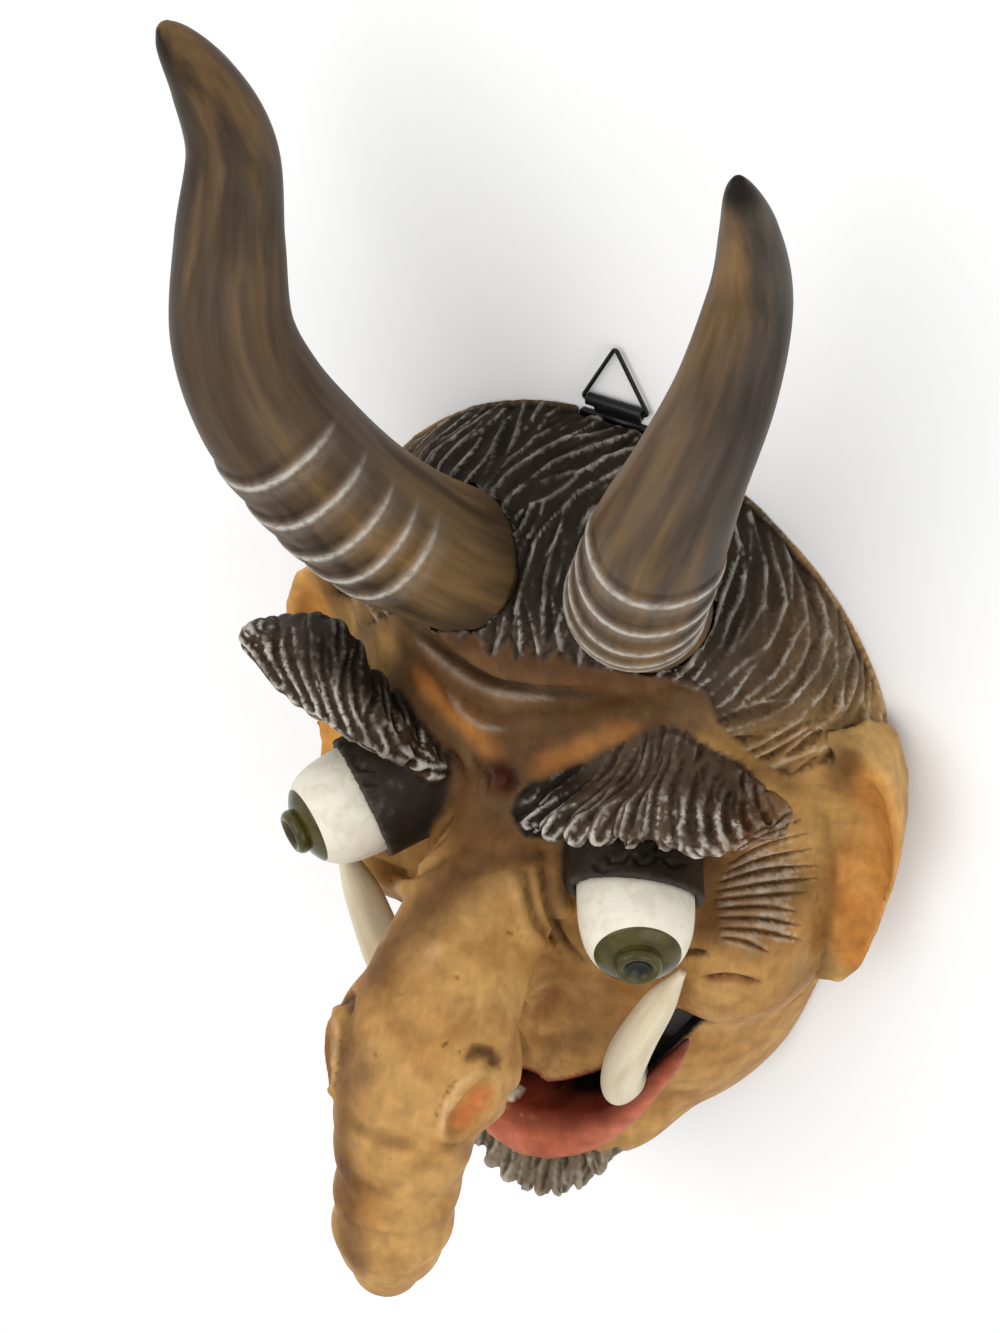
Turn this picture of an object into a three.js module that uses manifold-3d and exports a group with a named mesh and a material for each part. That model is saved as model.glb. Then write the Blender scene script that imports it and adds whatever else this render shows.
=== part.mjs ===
// A carved and painted wooden carnival mask: a horned devil with a long hooked nose, lying on its open back.
// Millimetres. +X is to the viewer's right, +Y is towards the crown, +Z is out of the face.
// The sculptor's own frame has its zero on the back plane, level with the widest part of the head.
import * as THREE from "three";
import { mergeVertices } from "three/addons/utils/BufferGeometryUtils.js";
import Module from "manifold-3d";

const wasm = await Module();
wasm.setup();

// Driving sizes of the head block
const HALF_WIDTH = 96;
const CROWN = 91;
const CHIN = 190;
const FACE_DEPTH = 60;
const WALL = 13;
const ROUNDNESS = 1.9;
const CROWN_LEAN = 0.07;
const FIT_GAP = 0.35;

// Full forms of the lower face, each a ball stretched to three half sizes
const MUZZLE = { centre: [0, -108, 0], half: [70, 72, 62], power: 2.3 };
const CHIN_BOSS = { centre: [0, -154, 36], half: [47, 30, 34] };
const CHEEK = { centre: [62, -71, 30], half: [30, 32, 36] };
const CHEEK_HOLLOW = { centre: [44, -72, -1], half: [32, 36, 47] };
const BROW_RIDGE = { centre: [0, -8, 44], half: [66, 22, 24] };

// Horns: the middle line of the one on the viewer's right, with the radius at each point
const HORN_LINE = [
  [31, 49, 38],
  [40, 72, 62],
  [48, 89, 75],
  [57, 110, 86],
  [66, 131, 93],
  [73, 152, 94],
  [78, 176, 85],
  [80.5, 200, 77],
  [82.5, 224, 84],
  [84.5, 242, 94],
  [85.5, 246.5, 96.5],
];
const HORN_RADII = [22.5, 22.5, 22.5, 22, 20.8, 19, 16, 13.8, 9.8, 5.2, 2];
const HORN_STEPS = 30;
const HORN_SIDES = 10;
const HORN_RINGS = 4;
const HORN_RING_START = 4 / 30;
const HORN_RING_PITCH = 2 / 30;
const HORN_RING_STEP = 1.6;

// Nose: its middle line from the bridge to the hanging tip
const NOSE_LINE = [
  [0, -10, 44],
  [0, -27, 64],
  [0, -43, 93],
  [0, -60, 117],
  [0, -81, 134],
  [0, -108, 143],
  [0, -134, 151],
  [0, -146, 155],
];
const NOSE_RADII = [24, 23, 23, 25, 24, 19.5, 17, 12];
const NOSE_RINGS = 5;
const NOSE_RING_RISE = 0.8;
const NOSTRIL_WING = { centre: [18, -72, 124], half: [13, 20, 17] };
const NOSTRIL = { centre: [32, -84, 121], half: [6, 12, 7] };

// Eyes: egg-shaped plugs that stand out of stubby tubes, with a raised pupil
const EYE_CENTRE = new THREE.Vector3(47.5, -22.5, 76);
const EYE_AXIS = new THREE.Vector3(0.5, -0.14, 0.86).normalize();
const EYE_RADIUS = 18;
const EYE_LENGTH = 27;
const EYE_PLUG_DEPTH = 9;
const EYE_SIDES = 16;
const IRIS_RADIUS = 12.5;
const IRIS_RISE = 5;
const PUPIL_RADIUS = 6.5;
const PUPIL_RISE = 3;
const PUPIL_DIMPLE = 2.5;
const LID_WALL = 3.5;
const LID_LENGTH = 34;

// Brows: the middle line of the one on the right, with its half heights
const BROW_LINE = [
  [12, -4, 74],
  [27, 9, 75],
  [43, 20, 74],
  [59, 26, 71],
  [76, 21, 69],
  [91, 14, 71],
];
const BROW_HALF_HEIGHTS = [6, 12, 16, 18, 14, 9];
const BROW_FRONT = 9;
const BROW_BACKS = [22, 32, 38, 40, 30, 8];
const BROW_TUFTS = 7;
const BROW_TUFT_CUT = 0.1;

// Mouth
const LIP_LINE = [
  [-60, -92, 54],
  [-50, -123, 57],
  [-27, -150, 61],
  [0, -160, 62],
  [27, -150, 61],
  [50, -123, 57],
  [60, -92, 54],
];
const LIP_RADII = [3, 7, 10.5, 11.5, 10.5, 7, 3];
const SLIT_LINE = [
  [-58, -90, 55],
  [-46, -114, 55],
  [-25, -136, 55],
  [0, -143, 55],
  [25, -136, 55],
  [46, -114, 55],
  [58, -90, 55],
];
const SLIT_HALF_HEIGHT = 4.5;
const SLIT_REACH = 60;
const TOOTH = { low: [-8, -155, 45], high: [2, -140, 66] };

// Tusks: the middle line of the one on the right, with the radius at each point
const TUSK_LINE = [
  [38, -124, 57],
  [41, -113, 71],
  [47, -93, 76],
  [55, -70, 75],
  [63, -51, 74],
];
const TUSK_RADII = [7, 9.4, 9.8, 7.6, 2];
const TUSK_FLATNESS = 0.8;

// Ears: the outline in plan at the front edge, with a straight root
const EAR_OUTLINE = [
  [80, 22],
  [98, 19],
  [108, 10],
  [113, -4],
  [113.5, -20],
  [111, -38],
  [107, -57],
  [102, -72],
  [96, -81],
  [78, -86],
];
const EAR_FRONT = 27;
const EAR_BACK = 4;
const EAR_TAPER = 0.93;
const EAR_DISH = { centre: [100, -30, 31], half: [11, 40, 13] };

// Hair and beard
const HAIR_RISE = 7;
const HAIR_FLUTES = 27;
const HAIR_FLUTE_DEPTH = 0.014;
const HAIR_TEMPLE = [
  [110, 110],
  [110, 8],
  [94, 0],
  [80, -6],
  [66, 8],
];
const FRINGE = { half: 58, bottom: 30, arch: 9, tufts: 9, dip: 5 };
const BEARD = { half: 29, top: -166, bottom: -184, tufts: 5, dip: 5, front: 68, back: 34 };

// Hanger on the back at the crown
const PLATE = { width: 26, height: 12, thickness: 1.2, y: 85.5, z: 0.2 };
const KNUCKLE = { outer: 2, inner: 1.15, length: 19, tongue: 15, y: 96.5, z: 2.2, sides: 10 };
const WIRE_RADIUS = 0.7;
const WIRE_SIDES = 6;
const RING_HEIGHT = 21;
const RING_HALF_BASE = 11.5;
const RING_CORNER = 2;
const SCREW = { head: 3, shank: 1.4, sink: 1.6, length: 9, point: 1.4, spacing: 15, sides: 12 };
const HANGER_BAY = 6;

const paint = (color, roughness = 0.6, metalness = 0) =>
  new THREE.MeshStandardMaterial({ color, roughness, metalness });
const HEAD_PAINT = paint(0xb07c42);
const HORN_PAINT = paint(0x59483a, 0.5);
const IVORY_PAINT = paint(0xd9d0bd, 0.5);
const BLACK_STEEL = paint(0x0c0c0c, 0.4, 0.8);

const OUT_OF_FACE = new THREE.Vector3(0, 0, 1);
const FULL_TURN = 2 * Math.PI;
const vec = ([x, y, z]) => new THREE.Vector3(x, y, z);
const toSide = (side) => ([x, y, z]) => [side * x, y, z];
const flipped = (v, side) => new THREE.Vector3(side * v.x, v.y, v.z);

/** Reads a list of numbers at a share t of its length, with straight lines between them. */
function between(values, t) {
  const place = THREE.MathUtils.clamp(t, 0, 1) * (values.length - 1);
  const i = Math.min(Math.floor(place), values.length - 2);
  return THREE.MathUtils.lerp(values[i], values[i + 1], place - i);
}

/** A closed manifold solid of a three.js geometry, turned the right way out. */
function solid(geometry) {
  const bare = new THREE.BufferGeometry();
  bare.setAttribute("position", geometry.getAttribute("position"));
  bare.setIndex(geometry.getIndex());
  const merged = mergeVertices(bare, 1e-3);
  const triVerts = new Uint32Array(merged.index.array);
  const vertProperties = merged.attributes.position.array;
  const make = () => new wasm.Manifold(new wasm.Mesh({ numProp: 3, vertProperties, triVerts }));
  const made = make();
  if (made.volume() > 0) return made;
  for (let i = 0; i < triVerts.length; i += 3) {
    [triVerts[i + 1], triVerts[i + 2]] = [triVerts[i + 2], triVerts[i + 1]];
  }
  return make();
}

/** The named three.js mesh of a manifold solid. */
function named(name, made, material) {
  const { vertProperties, triVerts } = made.getMesh();
  const geometry = new THREE.BufferGeometry();
  geometry.setAttribute("position", new THREE.BufferAttribute(vertProperties, 3));
  geometry.setIndex(Array.from(triVerts));
  geometry.computeVertexNormals();
  const mesh = new THREE.Mesh(geometry, material);
  mesh.name = name;
  return mesh;
}

/** Joins rings of points, each with the same count, into a closed skin with flat ends, or into a hoop. */
function loft(rings, hoop = false) {
  const count = rings[0].length;
  const corners = rings.flat().flatMap((p) => p.toArray());
  const faces = [];
  const spans = hoop ? rings.length : rings.length - 1;
  for (let i = 0; i < spans; i += 1) {
    const next = (i + 1) % rings.length;
    for (let k = 0; k < count; k += 1) {
      const a = i * count + k;
      const b = i * count + ((k + 1) % count);
      const c = next * count + k;
      const d = next * count + ((k + 1) % count);
      faces.push(a, b, d, a, d, c);
    }
  }
  const ends = hoop ? [] : [0, rings.length - 1];
  for (const ring of ends) {
    const middle = rings[ring].reduce((sum, p) => sum.add(p), new THREE.Vector3()).divideScalar(count);
    const hub = corners.length / 3;
    corners.push(...middle.toArray());
    for (let k = 0; k < count; k += 1) {
      const a = ring * count + k;
      const b = ring * count + ((k + 1) % count);
      faces.push(...(ring === 0 ? [hub, b, a] : [hub, a, b]));
    }
  }
  const geometry = new THREE.BufferGeometry();
  geometry.setAttribute("position", new THREE.Float32BufferAttribute(corners, 3));
  geometry.setIndex(faces);
  return geometry;
}

/**
 * A tube along a smooth line. section(t, angle) gives how far a point of the ring lies along the up direction, and
 * how far across it, at a share t of the line.
 */
function sweep(line, section, { steps, sides, up = OUT_OF_FACE }) {
  const curve = new THREE.CatmullRomCurve3(line.map(vec), false, "centripetal");
  const rings = [];
  for (let i = 0; i <= steps; i += 1) {
    const t = i / steps;
    const middle = curve.getPoint(t);
    const along = curve.getTangent(t);
    const first = up.clone().addScaledVector(along, -up.dot(along)).normalize();
    const second = new THREE.Vector3().crossVectors(along, first);
    const ring = [];
    for (let k = 0; k < sides; k += 1) {
      const [rise, across] = section(t, (FULL_TURN * k) / sides);
      ring.push(middle.clone().addScaledVector(first, rise).addScaledVector(second, across));
    }
    rings.push(ring);
  }
  return solid(loft(rings));
}

/** The section of a round tube, squeezed across its up direction. */
function round(radiusAt, flatness = 1) {
  return (t, angle) => {
    const radius = radiusAt(t);
    return [radius * Math.cos(angle), radius * Math.sin(angle) * flatness];
  };
}

/** A ball stretched to three half sizes, with another half height below its middle if one is given. */
function egg({ centre, half, below = half[1], power = 2, across = 20, down = 12, lean = 0, flutes = 0 }) {
  const geometry = new THREE.SphereGeometry(1, across, down).rotateX(Math.PI / 2);
  const spots = geometry.getAttribute("position");
  for (let i = 0; i < spots.count; i += 1) {
    const n = new THREE.Vector3().fromBufferAttribute(spots, i);
    const sum = Math.abs(n.x) ** power + Math.abs(n.y) ** power + Math.abs(n.z) ** power;
    const flute = 1 + HAIR_FLUTE_DEPTH * Math.cos(flutes * Math.atan2(n.y, n.x)) * Math.sign(flutes);
    n.multiplyScalar(sum ** (-1 / power) * flute);
    const y = n.y * (n.y > 0 ? half[1] : below);
    spots.setXYZ(i, centre[0] + n.x * half[0] - lean * Math.max(y, 0), centre[1] + y, centre[2] + n.z * half[2]);
  }
  return solid(geometry);
}

/** A box between two corners. */
function block(low, high) {
  const size = vec(high).sub(vec(low));
  const middle = vec(low).add(vec(high)).multiplyScalar(0.5);
  return solid(new THREE.BoxGeometry(size.x, size.y, size.z).translate(...middle.toArray()));
}

/** A plan outline raised from one height to another. */
function slab(outline, bottom, top) {
  const shape = new THREE.Shape(outline.map(([x, y]) => new THREE.Vector2(x, y)));
  const geometry = new THREE.ExtrudeGeometry(shape, { depth: top - bottom, bevelEnabled: false });
  return solid(geometry.translate(0, 0, bottom));
}

/** A turned solid whose profile is [radius, height] pairs, stood on a point along an axis. */
function turned(profile, centre, axis, sides) {
  const points = profile.map(([r, h]) => new THREE.Vector2(r, h));
  const turn = new THREE.Quaternion().setFromUnitVectors(new THREE.Vector3(0, 1, 0), axis);
  const geometry = new THREE.LatheGeometry(points, sides).applyQuaternion(turn);
  return solid(geometry.translate(...centre.toArray()));
}

/** The horn of one side, with ring steps under its root. grow widens it for the cut of its socket. */
function horn(side, grow = 0) {
  const ringEnd = HORN_RING_START + HORN_RINGS * HORN_RING_PITCH;
  const section = (t, angle) => {
    const onRings = t >= HORN_RING_START && t < ringEnd;
    const share = onRings ? ((t - HORN_RING_START) / HORN_RING_PITCH) % 1 : 0.5;
    const radius = between(HORN_RADII, t) + grow + HORN_RING_STEP * (0.5 - share);
    return [radius * Math.cos(angle), radius * Math.sin(angle)];
  };
  return sweep(HORN_LINE.map(toSide(side)), section, { steps: HORN_STEPS, sides: HORN_SIDES });
}

/** The tusk of one side. */
function tusk(side, grow = 0) {
  const section = round((t) => between(TUSK_RADII, t) + grow, TUSK_FLATNESS);
  return sweep(TUSK_LINE.map(toSide(side)), section, { steps: 10, sides: 8 });
}

/** The turned eye of one side: an egg cut flat behind, with its iris and its hollow pupil in front. */
function eye(side, grow = 0) {
  const radius = EYE_RADIUS + grow;
  const rings = 4;
  const last = Math.acos(IRIS_RADIUS / EYE_RADIUS);
  const profile = [[0, -EYE_PLUG_DEPTH - grow], [radius, -EYE_PLUG_DEPTH - grow]];
  for (let i = 0; i <= rings; i += 1) {
    const angle = (last * i) / rings;
    profile.push([radius * Math.cos(angle), EYE_LENGTH * Math.sin(angle)]);
  }
  const iris = EYE_LENGTH * Math.sin(last);
  profile.push([PUPIL_RADIUS + 1, iris + IRIS_RISE]);
  profile.push([PUPIL_RADIUS, iris + IRIS_RISE + PUPIL_RISE]);
  profile.push([PUPIL_RADIUS / 2, iris + IRIS_RISE + PUPIL_RISE]);
  profile.push([0, iris + IRIS_RISE + PUPIL_RISE - PUPIL_DIMPLE]);
  return turned(profile, flipped(EYE_CENTRE, side), flipped(EYE_AXIS, side), EYE_SIDES);
}

/** The lids of one side: a stubby tube that widens into the face, with the eye standing out of it. */
function lid(side) {
  const rim = EYE_RADIUS + LID_WALL;
  const profile = [
    [0, -LID_LENGTH],
    [rim + 6, -LID_LENGTH],
    [rim + 2, -LID_LENGTH / 2],
    [rim, -2],
    [EYE_RADIUS + 1, 3],
    [0, 3],
  ];
  return turned(profile, flipped(EYE_CENTRE, side), flipped(EYE_AXIS, side), EYE_SIDES);
}

/** The bushy brow of one side: an eave out of the forehead, with its tufts as flutes across it. */
function brow(side) {
  const section = (t, angle) => {
    const tuft = 1 - BROW_TUFT_CUT * (0.5 + 0.5 * Math.cos(FULL_TURN * BROW_TUFTS * t));
    const outward = side * Math.sin(angle);
    const depth = outward > 0 ? BROW_FRONT * tuft : between(BROW_BACKS, t);
    return [between(BROW_HALF_HEIGHTS, t) * tuft * Math.cos(angle), depth * Math.sin(angle)];
  };
  const up = new THREE.Vector3(0, 1, 0);
  return sweep(BROW_LINE.map(toSide(side)), section, { steps: 2 * BROW_TUFTS, sides: 10, up });
}

/** The ear of one side: a dished plate that widens towards the front. */
function ear(side) {
  const ring = (z, share) => EAR_OUTLINE.map(([x, y]) => new THREE.Vector3(side * x * share, y, z));
  const plate = solid(loft([ring(EAR_BACK, EAR_TAPER), ring(EAR_FRONT, 1)]));
  const { centre, half } = EAR_DISH;
  return plate.subtract(egg({ centre: toSide(side)(centre), half, across: 16, down: 10 }));
}

/** The hair: a fluted cap with a scalloped fringe over the forehead. */
function hair() {
  const { half, bottom, arch, tufts, dip } = FRINGE;
  const fringe = [];
  for (let i = 0; i <= 2 * tufts; i += 1) {
    const x = THREE.MathUtils.lerp(half, -half, i / (2 * tufts));
    const lift = arch * Math.cos((x / half) * (Math.PI / 2));
    fringe.push([x, bottom + lift - (i % 2 ? dip : 0)]);
  }
  const farSide = HAIR_TEMPLE.map(toSide(-1)).reverse();
  const plan = slab([...HAIR_TEMPLE, ...fringe, ...farSide], -1, 2 * FACE_DEPTH);
  const cap = egg({
    centre: [0, 0, 0],
    half: [HALF_WIDTH, CROWN, FACE_DEPTH + HAIR_RISE],
    below: CHIN,
    power: ROUNDNESS,
    lean: CROWN_LEAN,
    across: 3 * HAIR_FLUTES,
    down: 7,
    flutes: HAIR_FLUTES,
  });
  return cap.intersect(plan);
}

/** The beard: a short collar of pointed tufts under the lower lip. */
function beard() {
  const { half, top, bottom, tufts, dip, front, back } = BEARD;
  const outline = [[half, top], [-half, top]];
  for (let i = 0; i <= 2 * tufts; i += 1) {
    const x = THREE.MathUtils.lerp(-half, half, i / (2 * tufts));
    const round = 8 * (x / half) ** 2;
    outline.push([x, bottom + round + (i % 2 ? -dip : 0)]);
  }
  return slab(outline, back, front);
}

/** The nose: a hooked trunk with rings near its tip, two nostril wings and a dished nostril in each. */
function nose() {
  const swell = (t) => (t > 0.6 ? NOSE_RING_RISE * Math.cos((t - 0.6) * FULL_TURN * 2 * NOSE_RINGS) : 0);
  const section = round((t) => between(NOSE_RADII, t) + swell(t), 0.97);
  let made = sweep(NOSE_LINE, section, { steps: 20, sides: 12, up: new THREE.Vector3(0, 1, 0) });
  for (const side of [-1, 1]) {
    const wing = { ...NOSTRIL_WING, centre: toSide(side)(NOSTRIL_WING.centre) };
    const hollow = { ...NOSTRIL, centre: toSide(side)(NOSTRIL.centre) };
    made = made.add(egg({ ...wing, across: 14, down: 10 })).subtract(egg({ ...hollow, across: 12, down: 8 }));
  }
  return made;
}

/** The crescent through which the mouth opens into the hollow. */
function mouthSlit() {
  const corners = [[1, 1], [1, -1], [-1, -1], [-1, 1]];
  const section = (t, angle) => {
    const [rise, fall] = corners[Math.round((4 * angle) / FULL_TURN)];
    const half = SLIT_HALF_HEIGHT * Math.min(1, 0.35 + 2.6 * Math.sin(Math.PI * t));
    return [rise * SLIT_REACH, fall * half];
  };
  return sweep(SLIT_LINE, section, { steps: 14, sides: corners.length });
}

/** A countersunk screw, driven into the wood from the back. */
function screw(side, grow = 0) {
  const centre = new THREE.Vector3((side * SCREW.spacing) / 2, PLATE.y, PLATE.z);
  const head = SCREW.head + grow;
  const shank = SCREW.shank + grow;
  const profile = [
    [0, 0],
    [head, 0],
    [shank, SCREW.sink],
    [shank, SCREW.length],
    [0, SCREW.length + SCREW.point + grow],
  ];
  return turned(profile, centre, OUT_OF_FACE, SCREW.sides);
}

/** A rod along X at the middle of the knuckle. */
function knuckleRod(radius, length) {
  const ring = new THREE.Shape().absarc(0, 0, radius, 0, FULL_TURN);
  const options = { depth: length, bevelEnabled: false, curveSegments: KNUCKLE.sides };
  const rod = new THREE.ExtrudeGeometry(ring, options).rotateY(Math.PI / 2);
  return solid(rod.translate(-length / 2, KNUCKLE.y, KNUCKLE.z));
}

/** The plate on the back with its rolled knuckle, in which the ring turns. */
function hangerPlate() {
  const low = [-PLATE.width / 2, PLATE.y - PLATE.height / 2, PLATE.z];
  const high = [PLATE.width / 2, PLATE.y + PLATE.height / 2, PLATE.z + PLATE.thickness];
  const tongueLow = [-KNUCKLE.tongue / 2, PLATE.y, PLATE.z];
  const tongueHigh = [KNUCKLE.tongue / 2, KNUCKLE.y, PLATE.z + PLATE.thickness];
  const plate = block(low, high).add(block(tongueLow, tongueHigh)).add(knuckleRod(KNUCKLE.outer, KNUCKLE.length));
  const cuts = [knuckleRod(KNUCKLE.inner, 2 * KNUCKLE.length), screw(-1, FIT_GAP), screw(1, FIT_GAP)];
  return cuts.reduce((left, cut) => left.subtract(cut), plate);
}

/** The wire triangle that hooks over a nail, with one side inside the knuckle. */
function hangerRing() {
  const corners = [
    [-RING_HALF_BASE, 0],
    [RING_HALF_BASE, 0],
    [0, RING_HEIGHT],
  ].map(([x, y]) => new THREE.Vector2(x, y));
  const path = [];
  const bend = 4;
  corners.forEach((corner, i) => {
    const before = corners[(i + 2) % 3].clone().sub(corner).setLength(RING_CORNER).add(corner);
    const after = corners[(i + 1) % 3].clone().sub(corner).setLength(RING_CORNER).add(corner);
    const arc = new THREE.QuadraticBezierCurve(before, corner, after);
    path.push(...arc.getPoints(bend));
  });
  const rings = path.map((p, i) => {
    const ahead = path[(i + 1) % path.length].clone().sub(path[(i + path.length - 1) % path.length]).normalize();
    const outward = new THREE.Vector2(ahead.y, -ahead.x);
    return Array.from({ length: WIRE_SIDES }, (_, k) => {
      const angle = (FULL_TURN * k) / WIRE_SIDES;
      const reach = WIRE_RADIUS * Math.cos(angle);
      const rise = WIRE_RADIUS * Math.sin(angle);
      return new THREE.Vector3(p.x + outward.x * reach, KNUCKLE.y + p.y + outward.y * reach, KNUCKLE.z + rise);
    });
  });
  return solid(loft(rings, true));
}

/** The head block before it is hollowed. */
function carvedFace() {
  const skull = egg({
    centre: [0, 0, 0],
    half: [HALF_WIDTH, CROWN, FACE_DEPTH],
    below: CHIN,
    power: ROUNDNESS,
    lean: CROWN_LEAN,
    across: 28,
    down: 14,
  });
  const lip = sweep(LIP_LINE, round((t) => between(LIP_RADII, t)), { steps: 14, sides: 8 });
  const tooth = block(TOOTH.low, TOOTH.high);
  const added = [egg({ ...MUZZLE, across: 22, down: 12 }), egg(CHIN_BOSS), egg(BROW_RIDGE), lip, tooth];
  added.push(nose(), beard(), hair());
  for (const side of [-1, 1]) {
    const cheek = egg({ ...CHEEK, centre: toSide(side)(CHEEK.centre), across: 16, down: 10 });
    added.push(cheek, brow(side), lid(side), ear(side));
  }
  return added.reduce((sum, piece) => sum.add(piece), skull);
}

/** The hollow behind the face, open at the back. */
function faceHollow() {
  const behindSkull = egg({
    centre: [0, 0, -1],
    half: [HALF_WIDTH - WALL, CROWN - WALL, FACE_DEPTH - WALL],
    below: CHIN - 2 * WALL,
    lean: CROWN_LEAN,
    across: 20,
    down: 10,
  });
  const muzzleHalf = MUZZLE.half.map((reach) => reach - WALL);
  let hollow = behindSkull.add(egg({ centre: MUZZLE.centre, half: muzzleHalf, across: 16, down: 8 }));
  for (const side of [-1, 1]) {
    const { centre, half } = CHEEK_HOLLOW;
    hollow = hollow.add(egg({ centre: toSide(side)(centre), half, across: 16, down: 8 }));
  }
  return hollow;
}

/** The head block: the carved face with its hair, ears and beard, hollowed from behind and cut flat. */
function head() {
  const reach = 2 * CHIN;
  const belowBack = block([-reach, -reach, -reach], [reach, reach, 0]);
  const notch = block(
    [-PLATE.width / 2 - FIT_GAP, PLATE.y - PLATE.height / 2 - FIT_GAP, -1],
    [PLATE.width / 2 + FIT_GAP, reach, PLATE.z + PLATE.thickness + FIT_GAP],
  );
  const bayHalf = RING_HALF_BASE + 2 * WIRE_RADIUS;
  const bay = block([-bayHalf, KNUCKLE.y - KNUCKLE.outer - 1, -1], [bayHalf, reach, HANGER_BAY]);
  const cuts = [faceHollow(), mouthSlit(), belowBack, notch, bay];
  for (const side of [-1, 1]) {
    cuts.push(horn(side, FIT_GAP), tusk(side, FIT_GAP), eye(side, FIT_GAP), screw(side, FIT_GAP));
  }
  return cuts.reduce((left, cut) => left.subtract(cut), carvedFace());
}

const mask = new THREE.Group();
mask.add(named("mask_head", head(), HEAD_PAINT));
for (const [word, side] of [["left", -1], ["right", 1]]) {
  mask.add(named(`horn_${word}`, horn(side), HORN_PAINT));
  mask.add(named(`eye_${word}`, eye(side), IVORY_PAINT));
  mask.add(named(`tusk_${word}`, tusk(side), IVORY_PAINT));
  mask.add(named(`hanger_screw_${word}`, screw(side), BLACK_STEEL));
}
mask.add(named("hanger_plate", hangerPlate(), BLACK_STEEL));
mask.add(named("hanger_ring", hangerRing(), BLACK_STEEL));

// The part's own origin is under the middle of its box, on the plane that it lies on.
const whole = new THREE.Box3().setFromObject(mask);
const middle = whole.getCenter(new THREE.Vector3());
mask.position.set(-middle.x, -middle.y, -whole.min.z);

export default mask;
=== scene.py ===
"""A carved and painted carnival mask: a horned devil with a long hooked nose, lying on its open back.

The sculptor's own frame is in millimetres: +X to the viewer's right, +Y towards the crown and +Z out of the face, with
its zero on the back plane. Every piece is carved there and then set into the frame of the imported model, in metres.
Places given as picture spots are pixels of a 1000x1333 picture taken by the scene's camera; they are cast on to the
carved block, so they sit on the wood from any side.
"""

import copy
import functools
import logging
import math
from dataclasses import dataclass
from enum import Enum
from typing import Iterable, Sequence

import bpy
import numpy as np
from mathutils import Matrix, Vector
from mathutils.geometry import tessellate_polygon

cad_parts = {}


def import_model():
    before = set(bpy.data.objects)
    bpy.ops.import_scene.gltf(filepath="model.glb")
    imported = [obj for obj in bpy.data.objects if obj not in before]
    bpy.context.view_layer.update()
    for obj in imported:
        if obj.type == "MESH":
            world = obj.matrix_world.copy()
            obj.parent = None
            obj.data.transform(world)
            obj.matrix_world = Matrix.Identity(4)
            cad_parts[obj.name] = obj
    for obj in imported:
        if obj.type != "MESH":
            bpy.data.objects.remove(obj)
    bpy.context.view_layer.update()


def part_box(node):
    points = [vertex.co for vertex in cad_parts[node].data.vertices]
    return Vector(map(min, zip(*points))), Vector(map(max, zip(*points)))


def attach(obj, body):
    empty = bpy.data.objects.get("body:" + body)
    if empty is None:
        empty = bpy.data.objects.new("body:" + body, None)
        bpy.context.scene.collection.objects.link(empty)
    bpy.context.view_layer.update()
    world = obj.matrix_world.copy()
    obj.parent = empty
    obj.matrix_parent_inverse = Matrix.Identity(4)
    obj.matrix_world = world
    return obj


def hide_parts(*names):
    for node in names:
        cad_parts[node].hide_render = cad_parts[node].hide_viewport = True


Array = np.ndarray
Point = tuple[float, float, float]
Spot = tuple[float, float]
Colour = tuple[float, float, float]
Rows = tuple[tuple[float, ...], ...]
Pair = tuple[Array, Array]
Faces = list[list[int]]
Skin = tuple[Array, Faces]
Piece = bpy.types.Object
Material = bpy.types.Material
Socket = bpy.types.NodeSocket

LOG = logging.getLogger("mask")
MM = 0.001
CHIN = 190.0
SIDES = (-1, 1)


# Small helpers


def unit(rows: Array) -> Array:
    """Gives vectors the length one, along the last axis."""
    return rows / np.maximum(np.linalg.norm(rows, axis=-1, keepdims=True), 1e-9)


def ease(low: float, high: float, values: Array) -> Array:
    """A smooth step from 0 at low to 1 at high."""
    t = np.clip((values - low) / (high - low), 0, 1)
    return t * t * (3 - 2 * t)


def mirrored(points: Array, side: int) -> Array:
    """The points on the given side: 1 keeps them, -1 mirrors them in the middle plane."""
    out = np.array(points, float)
    out[..., 0] *= side
    return out


def turns(sides: int) -> Array:
    """Even angles round a full turn."""
    return np.linspace(0, 2 * math.pi, sides, endpoint=False)


def smooth_line(points: Sequence[Sequence[float]], step: float) -> Array:
    """Samples a smooth line through points that may carry more columns than x, y and z.

    Args:
        points: Rows of x, y, z and any further values.
        step: The distance wanted between samples.

    Returns:
        The sampled rows, both ends included.
    """
    rows = np.array(points, float)
    if len(rows) < 3:
        count = max(2, int(np.linalg.norm(rows[-1, :3] - rows[0, :3]) / step) + 1)
        return rows[0] + (rows[-1] - rows[0]) * np.linspace(0, 1, count)[:, None]
    rows = np.vstack([2 * rows[0] - rows[1], rows, 2 * rows[-1] - rows[-2]])
    knots = np.concatenate([[0], np.cumsum(np.sqrt(np.linalg.norm(np.diff(rows[:, :3], axis=0), axis=1)) + 1e-6)])
    out = []
    for i in range(1, len(rows) - 2):
        count = max(1, int(round(np.linalg.norm(rows[i + 1, :3] - rows[i, :3]) / step)))
        t = np.linspace(knots[i], knots[i + 1], count, endpoint=False)[:, None]
        k, near = knots[i - 1 : i + 3], rows[i - 1 : i + 3]
        for gap in (1, 2):
            ends = [(k[j], k[j + gap], near[j], near[j + 1]) for j in range(4 - gap)]
            near = [((k1 - t) * row + (t - k0) * after) / (k1 - k0) for k0, k1, row, after in ends]
        out.append(((k[2] - t) * near[0] + (t - k[1]) * near[1]) / (k[2] - k[1]))
    return np.vstack(out + [rows[-2][None]])


# Forms that a block is carved from


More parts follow.
